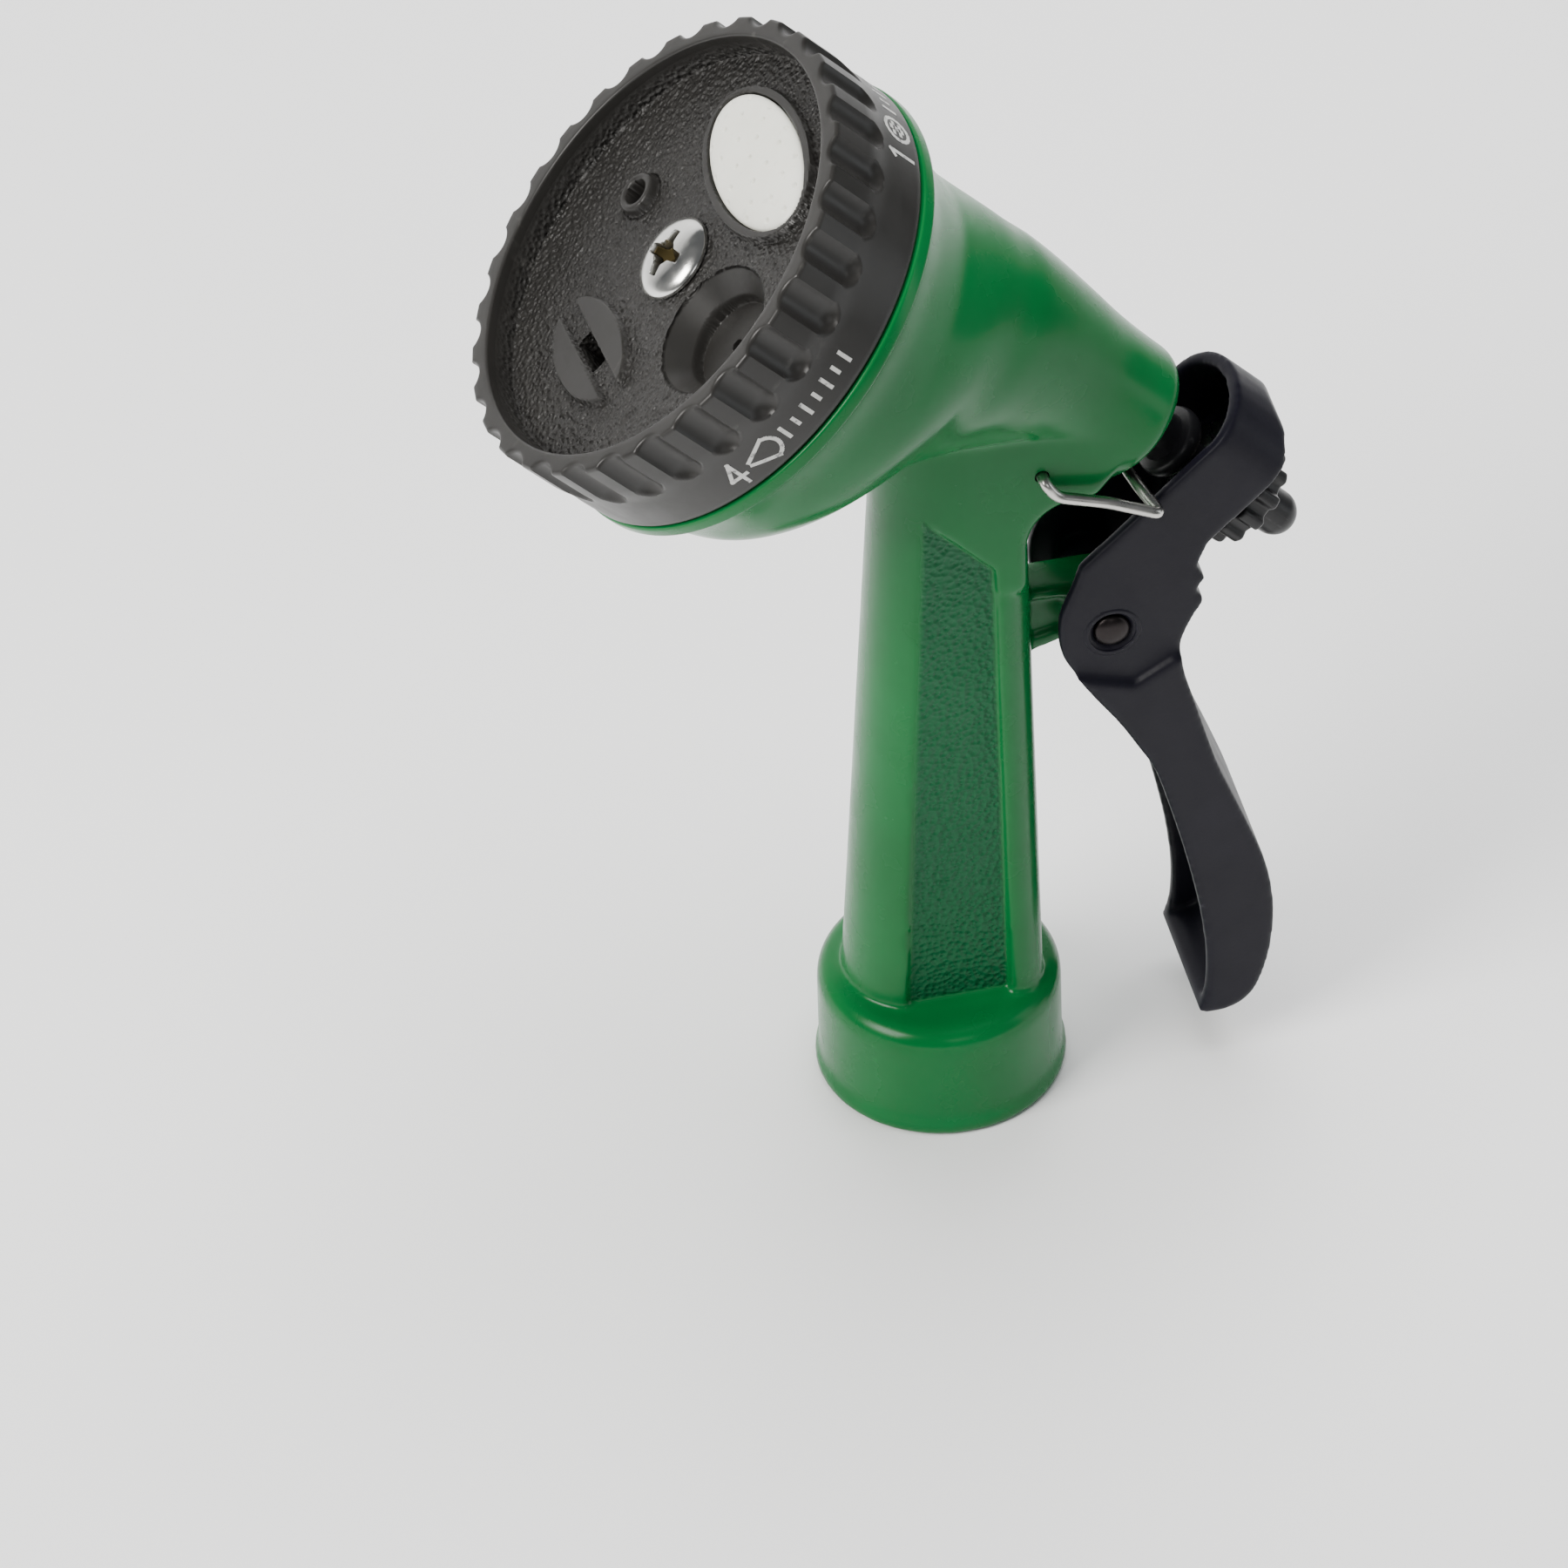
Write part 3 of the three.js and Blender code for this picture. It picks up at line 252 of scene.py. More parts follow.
def merged(name, parts):
    """One mesh holding all the parts' faces."""
    bm = bmesh.new()
    for part in parts:
        bm.from_mesh(part.data)
    mesh = bpy.data.meshes.new(name)
    bm.to_mesh(mesh)
    bm.free()
    for part in parts:
        drop(part)
    obj = bpy.data.objects.new(name, mesh)
    bpy.context.scene.collection.objects.link(obj)
    return obj


def fused(obj, smoothing):
    """Joins overlapping closed shapes into one skin with softened edges."""
    remesh = obj.modifiers.new("fuse", "REMESH")
    remesh.mode = "VOXEL"
    remesh.voxel_size = VOXEL * MM
    smooth = obj.modifiers.new("soften", "SMOOTH")
    smooth.factor = 0.5
    smooth.iterations = smoothing
    return applied(obj)


def shade(obj, angle=35):
    mesh = obj.data
    mesh.polygons.foreach_set("use_smooth", [True] * len(mesh.polygons))
    mesh.set_sharp_from_angle(angle=math.radians(angle))
    mesh.update()


def hand_over(obj, body, slot_name, material, *nodes, angle=35):
    shade(obj, angle)
    obj.data.materials.clear()
    obj.data.materials.append(material)
    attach(obj, body)
    if nodes:
        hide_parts(*nodes)
    return obj


# ------------------------------------------------------------------ materials

SOCKETS = {"color": "Base Color", "specular": "Specular IOR Level", "subsurface": "Subsurface Weight"}
# painted shade: a dark olive-brown laid into the screw's cross recess
RECESS_SHADE = (0.035, 0.027, 0.011)      # in the screw's recess


class Nodes:
    """Small builder for a material's node tree, in object coordinates, metres."""

    def __init__(self, name):
        self.material = bpy.data.materials.new(name)
        self.material.use_nodes = True
        self.tree = self.material.node_tree
        self.shader = self.tree.nodes["Principled BSDF"]
        self.place = self.tree.nodes.new("ShaderNodeTexCoord").outputs["Object"]
        self.last_bump = None

    def node(self, kind, **values):
        made = self.tree.nodes.new(kind)
        for key, value in values.items():
            if hasattr(made, key):
                setattr(made, key, value)
            else:
                made.inputs[key.replace("_", " ")].default_value = value
        return made

    def link(self, a, b):
        self.tree.links.new(a, b)

    def noise(self, scale, detail=3.0, roughness=0.55, distortion=0.0):
        made = self.node("ShaderNodeTexNoise")
        made.inputs["Scale"].default_value = scale
        made.inputs["Detail"].default_value = detail
        made.inputs["Roughness"].default_value = roughness
        made.inputs["Distortion"].default_value = distortion
        self.link(self.place, made.inputs["Vector"])
        return made.outputs["Fac"]

    def cells(self, scale, feature="F1", smoothness=0.6):
        made = self.node("ShaderNodeTexVoronoi")
        made.feature = feature
        made.inputs["Scale"].default_value = scale
        if feature == "SMOOTH_F1":
            made.inputs["Smoothness"].default_value = smoothness
        self.link(self.place, made.inputs["Vector"])
        return made.outputs["Distance"]

    def ramp(self, source, low, high, start, end):
        """source between low and high, mapped to start..end"""
        made = self.node("ShaderNodeMapRange")
        made.inputs["From Min"].default_value = low
        made.inputs["From Max"].default_value = high
        made.inputs["To Min"].default_value = start
        made.inputs["To Max"].default_value = end
        self.link(source, made.inputs["Value"])
        return made.outputs["Result"]

    def maths(self, operation, a, b):
        made = self.node("ShaderNodeMath", operation=operation)
        for socket, value in zip(made.inputs, (a, b)):
            if hasattr(value, "links"):
                self.link(value, socket)
            else:
                socket.default_value = value
        return made.outputs[0]

    def blend(self, factor, a, b):
        made = self.node("ShaderNodeMix", data_type="RGBA")
        self.link(factor, made.inputs["Factor"])
        for name, value in (("A", a), ("B", b)):
            socket = [s for s in made.inputs if s.name == name and s.type == "RGBA"][0]
            if hasattr(value, "links"):
                self.link(value, socket)
            else:
                socket.default_value = (*value, 1)
        return [s for s in made.outputs if s.type == "RGBA"][0]

    def attribute(self, name):
        made = self.node("ShaderNodeAttribute", attribute_name=name)
        return made.outputs["Fac"]

    def bump(self, height, distance_mm, strength=1.0):
        made = self.node("ShaderNodeBump")
        made.inputs["Strength"].default_value = strength
        made.inputs["Distance"].default_value = distance_mm * MM
        self.link(height, made.inputs["Height"])
        if self.last_bump:
            self.link(self.last_bump, made.inputs["Normal"])
        self.last_bump = made.outputs["Normal"]
        self.link(self.last_bump, self.shader.inputs["Normal"])

    def set(self, **values):
        for key, value in values.items():
            name = SOCKETS.get(key, key.title())
            self.shader.inputs[name].default_value = (*value, 1) if key == "color" else value

    def drive(self, name, source):
        self.link(source, self.shader.inputs[name])

    def edges(self):
        """0 in hollows, about 0.5 on flats, 1 on edges."""
        return self.node("ShaderNodeNewGeometry").outputs["Pointiness"]


def green_plastic():
    m = Nodes("green_gloss_plastic")
    m.set(specular=0.2)
    cloudy = m.ramp(m.noise(35, 4), 0.35, 0.68, 0, 1)
    base = m.blend(cloudy, (0.0008, 0.100, 0.021), (0.0014, 0.128, 0.029))
    worn = m.ramp(m.edges(), 0.57, 0.7, 0, 0.18)
    scuffs = m.ramp(m.noise(900, 2), 0.48, 0.7, 0, 1)
    shell = m.blend(m.maths("MULTIPLY", worn, scuffs), base, (0.03, 0.26, 0.08))
    panel = m.attribute("grain")
    m.drive("Base Color", m.blend(m.maths("MULTIPLY", panel, 0.6), shell, (0.0006, 0.058, 0.027)))
    smooth_rough = m.ramp(m.noise(160, 3), 0.3, 0.7, 0.2, 0.3)
    m.drive("Roughness", m.maths("ADD", smooth_rough, m.maths("MULTIPLY", panel, 0.2)))
    m.bump(m.noise(60, 1), 0.03, 0.4)
    m.bump(m.noise(1500, 2), 0.004, 0.5)
    pebble = m.maths("MULTIPLY", m.cells(1300, "SMOOTH_F1", 0.45), panel)
    m.bump(pebble, 0.36, 1.0)
    return m.material


def dial_plastic():
    m = Nodes("black_dial_plastic")
    m.set(specular=0.4)
    grain = m.attribute("grain")
    tone = m.ramp(m.noise(60, 3), 0.3, 0.7, 0, 1)
    base = m.blend(tone, (0.0125, 0.0118, 0.0108), (0.019, 0.018, 0.0165))
    worn = m.maths("MULTIPLY", m.ramp(m.edges(), 0.54, 0.66, 0, 0.4), m.ramp(m.noise(700, 2), 0.4, 0.7, 0, 1))
    m.drive("Base Color", m.blend(worn, base, (0.07, 0.067, 0.062)))
    plain = m.ramp(m.noise(240, 3), 0.3, 0.7, 0.34, 0.44)
    m.drive("Roughness", m.maths("ADD", plain, m.maths("MULTIPLY", grain, 0.06)))
    m.bump(m.noise(1500, 2), 0.012, 0.5)
    m.bump(m.maths("MULTIPLY", m.cells(1500, "SMOOTH_F1", 0.6), grain), 0.5, 1.0)
    m.bump(m.maths("MULTIPLY", m.noise(1500, 2.5, 0.5, 1.0), grain), 0.2, 1.0)
    return m.material


def satin_plastic(name, dark, light, rough=(0.38, 0.5), specular=0.3):
    m = Nodes(name)
    m.set(specular=specular)
    tone = m.ramp(m.noise(45, 4), 0.3, 0.7, 0, 1)
    base = m.blend(tone, dark, light)
    edges, rubs = m.ramp(m.edges(), 0.54, 0.64, 0, 0.5), m.ramp(m.noise(600, 3), 0.42, 0.7, 0, 1)
    worn = m.maths("MULTIPLY", edges, rubs)
    m.drive("Base Color", m.blend(worn, base, tuple(min(1, 4 * c + 0.03) for c in light)))
    m.drive("Roughness", m.ramp(m.noise(200, 3), 0.3, 0.7, *rough))
    m.bump(m.noise(2200, 2), 0.02, 0.6)
    return m.material


def cream_plastic():
    m = Nodes("cream_rose_plastic")
    m.set(specular=0.5, subsurface=0.08)
    m.shader.inputs["Subsurface Radius"].default_value = (0.002, 0.0018, 0.0015)
    tone = m.ramp(m.noise(110, 3), 0.3, 0.7, 0, 1)
    speckle = m.ramp(m.noise(800, 2), 0.62, 0.72, 0, 0.25)
    base = m.blend(tone, (0.70, 0.70, 0.62), (0.78, 0.78, 0.71))
    m.drive("Base Color", m.blend(speckle, base, (0.5, 0.5, 0.44)))
    m.drive("Roughness", m.ramp(m.noise(300, 2), 0.3, 0.7, 0.32, 0.45))
    m.bump(m.noise(900, 2), 0.015, 0.5)
    return m.material


def plated_metal(name, color, rough, fine=0.004):
    m = Nodes(name)
    m.set(metallic=1.0)
    # this attribute paints the screw's cross recess darker (painted shade) and makes it rougher there
    recess_shade = m.attribute("recess_shade")
    tone = m.ramp(m.noise(400, 4), 0.35, 0.7, 0, 1)
    base = m.blend(tone, color, tuple(0.86 * c for c in color))
    m.drive("Base Color", m.blend(recess_shade, base, RECESS_SHADE))
    polish = m.ramp(m.noise(500, 3), 0.3, 0.7, rough, rough + 0.12)
    m.drive("Roughness", m.maths("ADD", polish, m.maths("MULTIPLY", recess_shade, 0.25)))
    m.bump(m.noise(1800, 2), fine, 0.5)
    return m.material


def rubber_black():
    m = Nodes("black_rubber")
    m.set(specular=0.3)
    tone = m.ramp(m.noise(300, 3), 0.3, 0.7, 0, 1)
    m.drive("Base Color", m.blend(tone, (0.010, 0.010, 0.010), (0.025, 0.024, 0.023)))
    m.drive("Roughness", m.ramp(m.noise(500, 2), 0.3, 0.7, 0.6, 0.8))
    m.bump(m.noise(1600, 2), 0.02, 0.6)
    return m.material


def print_white():
    m = Nodes("white_print")
    m.set(specular=0.4)
    faded = m.ramp(m.noise(1400, 3), 0.56, 0.7, 0, 1)
    m.drive("Base Color", m.blend(faded, (0.52, 0.52, 0.50), (0.16, 0.16, 0.16)))
    m.drive("Roughness", m.ramp(m.noise(500, 2), 0.3, 0.7, 0.45, 0.6))
    return m.material


GREEN = green_plastic()
BLACK = dial_plastic()
SATIN = satin_plastic("black_satin_plastic", (0.006, 0.006, 0.007), (0.010, 0.010, 0.011), (0.3, 0.42))
LEVER = satin_plastic("blue_black_plastic", (0.0050, 0.0047, 0.0085), (0.0075, 0.0071, 0.0125), specular=0.16)
CREAM = cream_plastic()
ZINC = plated_metal("bright_zinc", (0.80, 0.80, 0.77), 0.14)
WIRE = plated_metal("steel_wire", (0.58, 0.57, 0.54), 0.24, fine=0.0015)
PIN = plated_metal("blackened_pin", (0.03, 0.026, 0.026), 0.28)
RUBBER = rubber_black()
PRINT = print_white()

# ------------------------------------------------------------------ selector dial


def pattern_place(index, circle):
    angle = math.pi / 2 * index - DIAL_TURN
    return circle * math.cos(angle), circle * math.sin(angle)


def oval_distance(x, y, half_x, half_y):
    """Roughly the distance outside an ellipse, negative inside it."""
    k = np.sqrt((x / half_x) ** 2 + (y / half_y) ** 2)
    slope = np.sqrt((x / half_x ** 2) ** 2 + (y / half_y ** 2) ** 2) + 1e-9
    return k * (k - 1) / slope


def inside(distance, edge=0.3):
    """1 inside an outline, 0 outside it, with a soft edge."""
    return smooth_step(0.5 - distance / edge)


def off_pattern(x, y, index, circle):
    """Place relative to a pattern's centre: along the dial's radius, and across it."""
    cx, cy = pattern_place(index, circle)
    turn = math.atan2(cy, cx)
    return ((x - cx) * math.cos(turn) + (y - cy) * math.sin(turn),
            (y - cy) * math.cos(turn) - (x - cx) * math.sin(turn))


def value_noise(u, v, seed):
    """Smooth random field, 0 to 1, one grid cell per unit."""
    size = 128
    grid = np.random.default_rng(seed).random((size, size))
    i, j = np.floor(u).astype(int), np.floor(v).astype(int)
    fu, fv = smooth_step(u - i), smooth_step(v - j)
    low = grid[i % size, j % size] * (1 - fu) + grid[(i + 1) % size, j % size] * fu
    high = grid[i % size, (j + 1) % size] * (1 - fu) + grid[(i + 1) % size, (j + 1) % size] * fu
    return low * (1 - fv) + high * fv


def leather(x, y):
    """Wrinkles of the moulded leather grain, 0 to 1."""
    warp_x, warp_y = value_noise(x / 1.3, y / 1.3, 3), value_noise(x / 1.3, y / 1.3, 4)
    coarse = value_noise(x / 0.95 + 1.5 * warp_x, y / 0.95 + 1.5 * warp_y, 5)
    fine = value_noise(x / 0.5 + warp_y, y / 0.5 + warp_x, 6)
    return 0.75 * (1 - np.abs(2 * coarse - 1)) + 0.25 * fine


def face_relief(x, y):
    """Height of the dial's face over its plain level, and how grained it is."""
    height = np.zeros_like(x)
    grain = np.ones_like(x)

    u, v = off_pattern(x, y, 0, ROSE_CIRCLE)
    ring = oval_distance(u, v, ROSE_HALF[0] + ROSE_RING, ROSE_HALF[1] + ROSE_RING - 0.35)
    seat = oval_distance(u, v, ROSE_HALF[0] + 0.08, ROSE_HALF[1] + 0.08)
    height += 1.25 * smooth_step(-ring / 0.35 + 0.4) - 1.8 * inside(seat)
    grain *= 1 - inside(ring, 0.5)

    u, v = off_pattern(x, y, 1, JET_CIRCLE)
    r = np.hypot(u, v)
    middle_r, half_ring = (JET_RADIUS + JET_HOLE) / 2, (JET_RADIUS - JET_HOLE) / 2
    crown = np.sqrt(np.clip(1 - ((r - middle_r) / (half_ring + 0.12)) ** 2, 0, 1))
    height += inside(r - JET_RADIUS, 0.3) * (JET_HEIGHT - 0.6) + 0.6 * crown
    height -= 7 * inside(r - JET_HOLE + 0.1, 0.25)
    grain *= 1 - inside(r - JET_RADIUS - 0.3, 0.5)

    u, v = off_pattern(x, y, 2, FAN_CIRCLE)
    oval = oval_distance(u, v, *FAN_HALF)
    cheek = inside(oval, 0.3) * (1 - inside(np.abs(u) - FAN_SLOT, 0.25))
    height += FAN_HEIGHT * cheek
    hole = inside(np.maximum(np.abs(u) - FAN_HOLE[0], np.abs(v) - FAN_HOLE[1]), 0.22)
    height -= 6 * hole
    grain *= (1 - cheek) * (1 - hole)

    u, v = off_pattern(x, y, 3, CONE_CIRCLE)
    r = np.hypot(u, v)
    slope = np.clip((CONE_RADIUS - r) / (CONE_RADIUS - CONE_FLOOR), 0, 1)
    height -= 2.9 * slope + 1.3 * inside(r - CONE_FLOOR, 0.3)
    height -= 4 * inside(r - CONE_HOLE, 0.25)
    grain *= 1 - inside(r - CONE_RADIUS, 0.4)
    height += 0.2 * grain * (leather(x, y) - 0.5)
    return height, grain


def grip_radius(angle, z):
    """Outer radius of the dial's front: rounded lobes between grooves with round ends."""
    pitch = 2 * math.pi / LOBES
    off = (np.mod(angle / pitch + 0.5, 1) - 0.5) * pitch * BAND_RADIUS
    from_end = np.clip(GROOVE_END - z, 0, None)
    reach = np.clip(1 - (off ** 2 + from_end ** 2) / GROOVE_HALF ** 2, 0, 1)
    stand = LOBE_STAND * smooth_step((z + 9.5) / 4)
    return BAND_RADIUS + stand - GROOVE_DEPTH * reach ** 0.8


def selector_dial():
    sides = LOBES * 24
    angle = np.linspace(0, 2 * math.pi, sides, endpoint=False)
    cos, sin = np.cos(angle), np.sin(angle)
    rings, grains = [], []

    def ring(radius, z, grain=0.0):
        radius = np.broadcast_to(radius, angle.shape)
        z = np.broadcast_to(z, angle.shape)
        rings.append(np.stack([radius * cos, radius * sin, z], -1))
        grains.append(np.broadcast_to(grain, angle.shape))

    for radius, z in [(20.0, -10.5), (RIM_INNER - 0.4, -10.5), (RIM_INNER, -DIAL_DEPTH)]:
        ring(radius, z)
    ring(BAND_RADIUS - 0.35, -DIAL_DEPTH)
    ring(BAND_RADIUS - 0.1, -DIAL_DEPTH + 0.1)
    ring(BAND_RADIUS, -DIAL_DEPTH + 0.35)
    for z in np.arange(-14, -8.6, 0.6):
        ring(grip_radius(angle, z), z)
    for z in np.arange(-8.4, -0.55, 0.18):
        ring(grip_radius(angle, z), z)
    edge = 0.5
    for t in np.linspace(0, math.pi / 2, 6):
        ring(grip_radius(angle, -edge) - edge * (1 - math.cos(t)), -edge + edge * math.sin(t))
    front = grip_radius(angle, -edge) - edge
    for t in (0.33, 0.66):
        ring(front * (1 - t) + (RIM_INNER + 0.35) * t, 0)
    for t in np.linspace(0, math.pi / 2, 5):
        ring(RIM_INNER + 0.35 * (1 - math.sin(t)), -0.35 * (1 - math.cos(t)))
    wall = RIM_INNER - 0.15
    ring(RIM_INNER - 0.05, -1.4)
    fillet = 0.35
    for t in np.linspace(0, math.pi / 2, 7):
        ring(wall - fillet * (1 - math.cos(t)), FACE + fillet * (1 - math.sin(t)), 1)
    for radius in np.arange(wall - fillet - 0.19, 0.15, -0.19):
        height, grain = face_relief(radius * cos, radius * sin)
        ring(radius, FACE + height, grain)

    dial = sheet_of_rings("dial_cap", rings, in_head)
    paint(dial, "grain", np.concatenate([np.ravel(grains), [0, 1]]))
    hand_over(dial, "dial", "black_plastic", BLACK, "selector_dial", angle=50)


def rose():
    cx, cy = pattern_place(0, ROSE_CIRCLE)
    sides, steps = 288, 84
    angle = np.linspace(0, 2 * math.pi, sides, endpoint=False)
    edge = FACE + 1.5
    holes = [(0, 0)]
    for share, count in ((0.34, 5), (0.66, 9), (0.9, 13)):
        holes += [(ROSE_HALF[0] * share * math.cos(2 * math.pi * (k + share) / count),
                   ROSE_HALF[1] * share * math.sin(2 * math.pi * (k + share) / count)) for k in range(count)]
    rings = [np.stack([share * ROSE_HALF[0] * np.cos(angle), share * ROSE_HALF[1] * np.sin(angle),
                       np.full(sides, edge - 2.6)], -1) for share in (0.2, 1)]
    inward = 1 - np.linspace(0.0035, 1, steps, endpoint=False) ** 1.1
    for share in np.concatenate([[1.0, 0.9995, 0.998], inward]):
        x = ROSE_HALF[0] * share * np.cos(angle)
        y = ROSE_HALF[1] * share * np.sin(angle)
        z = np.full(sides, edge - 0.8 + 0.8 * (1 - share ** 16) ** 0.5 + 0.7 * (1 - share ** 2))
        for hx, hy in holes:
            z -= 0.5 * smooth_step(1.25 - np.hypot(x - hx, y - hy) / 0.3)
        rings.append(np.stack([x, y, z], -1))
    turn = math.atan2(cy, cx)
    clock = np.array([[math.cos(turn), math.sin(turn), 0], [-math.sin(turn), math.cos(turn), 0], [0, 0, 1]])
    obj = sheet_of_rings("rose_plate", np.array(rings) @ clock + np.array([cx, cy, 0]), in_head)
    hand_over(obj, "dial", "cream_plastic", CREAM, "rose_disc", angle=50)


def dial_screw():
    """Truss-head screw with a tapering cross recess."""
    radius, height, under = 5.5, 2.1, FACE + 0.15
    sides = 240
    angle = np.linspace(0, 2 * math.pi, sides, endpoint=False)
    turn = math.radians(28)
    rings, recess_shades = [], []
    for r, z in [(1.75, under - 9), (1.75, under), (radius - 0.2, under), (radius, under + 0.15),
                 (radius, under + 0.4)]:
        rings.append(np.stack([r * np.cos(angle), r * np.sin(angle), np.full(sides, z)], -1))
        recess_shades.append(np.zeros(sides))
    for share in np.concatenate([[0.995, 0.985, 0.97], np.linspace(0.95, 0.01, 60)]):
        x, y = radius * share * np.cos(angle), radius * share * np.sin(angle)
        dome = under + 0.4 + (height - 0.4) * (1 - share ** 2.4) ** 0.62
        u = np.abs(x * math.cos(turn) + y * math.sin(turn))
        v = np.abs(-x * math.sin(turn) + y * math.cos(turn))
        long, short = np.maximum(u, v), np.minimum(u, v)
        arm = inside(np.maximum(short - 0.85 + 0.1 * long, long - 3.0), 0.2)
        web = inside(long + short - 2.2, 0.35)
        deep = np.clip(2.1 * (1 - long / 4.2), 0, None)
        recess = np.maximum(arm, web)
        rings.append(np.stack([x, y, dome - deep * recess], -1))
        recess_shades.append(recess)
    obj = sheet_of_rings("dial_screw_plated", rings, in_head)
    # the cross recess is painted darker through this attribute: painted shade
    paint(obj, "recess_shade", np.concatenate([np.ravel(recess_shades), [0, 1]]))
    hand_over(obj, "gun_body", "zinc_screw", ZINC, "dial_screw", angle=40)


# marks printed on the band: a number and a pictogram for each spray pattern


def on_band(points, angle, lift):
    """Flat (across, along) points wrapped round the dial's band, across running round it."""
    p = np.asarray(points, dtype=float)
    theta = angle + p[:, 0] / BAND_RADIUS
    radius = BAND_RADIUS + lift
    return in_head(np.stack([radius * np.cos(theta), radius * np.sin(theta), p[:, 1]], -1))


def stroke(points, width=0.5):
    """Outline points of a thick line through a few flat points, cut into short pieces."""
    quads = []
    p = np.asarray(points, dtype=float)
    for a, b in zip(p[:-1], p[1:]):
        length = np.linalg.norm(b - a)
        along = (b - a) / length
        side = np.array([-along[1], along[0]]) * width / 2
        a, b = a - along * width / 2, b + along * width / 2
        count = max(1, int(length / 0.8))
        for k in range(count):
            s = a + (b - a) * k / count
            e = a + (b - a) * (k + 1) / count
            quads.append([s - side, e - side, e + side, s + side])
    return quads


def arc(cx, cy, radius, start, end, count=10):
    return [(cx + radius * math.cos(math.radians(t)), cy + radius * math.sin(math.radians(t)))
            for t in np.linspace(start, end, count)]


DIGITS = {
    1: [[(-0.7, 1.2), (0, 1.9), (0, -1.9)]],
    2: [arc(0, 0.9, 1.0, 170, -40) + [(-1.0, -1.9), (1.1, -1.9)]],
    3: [arc(0, 0.95, 0.95, 150, -90), arc(0, -0.95, 0.95, 90, -150)],
    4: [[(0.5, -1.9), (0.5, 1.9), (-1.1, -0.7), (1.2, -0.7)]],
}


def pictogram(index):
    """Strokes of a simple picture of the spray: oval rose, jet, flat fan or cone."""
    if index == 0:
        drops = ((-0.9, 0.6), (0, 0.9), (0.8, 0.5), (-0.8, -0.5), (0, -0.9), (0.7, -0.6), (0, 0))
        return [arc(0, 0, 1.9, 0, 360, 18)] + [[(x, y), (x + 0.25, y)] for x, y in drops]
    if index == 1:
        return [[(-2.2, 0), (-0.4, 0)], [(0.2, 0), (2.6, 0)], [(2.0, 0.7), (2.8, 0), (2.0, -0.7)]]
    if index == 2:
        return [[(-1.9, 0), end] for end in ((1.8, 1.5), (2.1, 0.5), (2.1, -0.5), (1.8, -1.5))]
    return [[(-1.9, 0.3), (1.4, 1.8)], [(-1.9, -0.3), (1.4, -1.8)], arc(0.9, 0, 1.8, -70, 70, 9)]


def dashes(start, count, step=1.9):
    """A row of drops, longer then shorter."""
    row = [(start + k * step, 0.9 - 0.35 * (k % 2)) for k in range(count)]
    return [[(x, half), (x, -half)] for x, half in row]


def band_marks():
    verts, faces = [], []
    for index in range(4):
        angle = math.pi / 2 * index - DIAL_TURN
        strokes = [[(x - 9.6, y) for x, y in line] for line in DIGITS[index + 1]]
        strokes += [[(x - 5.2, y) for x, y in line] for line in pictogram(index)]
        strokes += dashes(-1.2, 7)
        for line in strokes:
            for quad in stroke(line):
                flat = [(x, y - 11.6) for x, y in quad]
                low, high = on_band(flat, angle, -0.05), on_band(flat, angle, 0.035)
                base = len(verts)
                verts += list(low) + list(high)
                faces.append([base + 4, base + 5, base + 6, base + 7])
                faces.append([base + 3, base + 2, base + 1, base])
                for k in range(4):
                    n = (k + 1) % 4
                    faces.append([base + k, base + n, base + 4 + n, base + 4 + k])
    obj = new_object("band_marks", np.array(verts), faces)
    outward(obj)
    hand_over(obj, "dial", "cream_plastic", PRINT)


# ------------------------------------------------------------------ green housing


def head_rings(sides=144):
    """Rings of the head housing: [behind the rim, centre above the dial's axis, radius]."""
    stations = [
        [17.8, 0, 29.1], [21.5, -0.2, 27.6], [26.3, -0.2, 26.3], [29, 0.7, 25.3], [31.2, 2.1, 24],
        [33.6, 4.3, 22], [36, 6.8, 19.7], [38.6, 8.8, 17.8], [42, 10.9, 16], [47, 13.2, 13.5],
        [53, 15, 11.1], [58, 15.6, 9.9], [62.5, VALVE_UP - 0.2, 9.5], [66, VALVE_UP - 0.2, 9.4],
    ]
    smooth = spline(stations, 96)
    tail = [[BARREL_END - BARREL_ROUND * (1 - math.sin(t)), VALVE_UP - 0.2,
             9.4 - BARREL_ROUND * (1 - math.cos(t))]
            for t in np.linspace(0, math.pi / 2, 10)]
    angle = np.linspace(0, 2 * math.pi, sides, endpoint=False)
    front = [[15.6, 0, 29.2]]
    return [np.stack([up + r * np.cos(angle), r * np.sin(angle), np.full(sides, -back)], -1)
            for back, up, r in [*front, *smooth, *tail]]


def grip_ring(z):
    """Round nose in front, rounded corners behind."""
    t = (z - GRIP_FOOT) / (GRIP_TOP - GRIP_FOOT)
    front, rear = -12.7 + 5.2 * t, 12.6 - 1.1 * t
    half = 9.8 - 0.5 * t
    corner = 4.6
    nose = [(front + half + half * math.cos(a), half * math.sin(a))
            for a in np.linspace(math.pi / 2, 1.5 * math.pi, 40)]
    right = [(rear - corner + corner * math.cos(a), -half + corner + corner * math.sin(a))
             for a in np.linspace(-math.pi / 2, 0, 14)]
    left = [(rear - corner + corner * math.cos(a), half - corner + corner * math.sin(a))
            for a in np.linspace(0, math.pi / 2, 14)]
    return [(x, y, z) for x, y in nose + right + left]


def panel_tool(side):
    depth = NECK_WIDTH / 2 - PANEL_DEPTH
    verts = [(x, side * y, z) for y in (depth, depth + 6) for x, z in PANEL]
    faces = [[0, 1, 2, 3], [7, 6, 5, 4]] + [[k, (k + 1) % 4, 4 + (k + 1) % 4, 4 + k] for k in range(4)]
    tool = new_object("panel_tool", on_handle(verts), faces)
    outward(tool)
    return tool


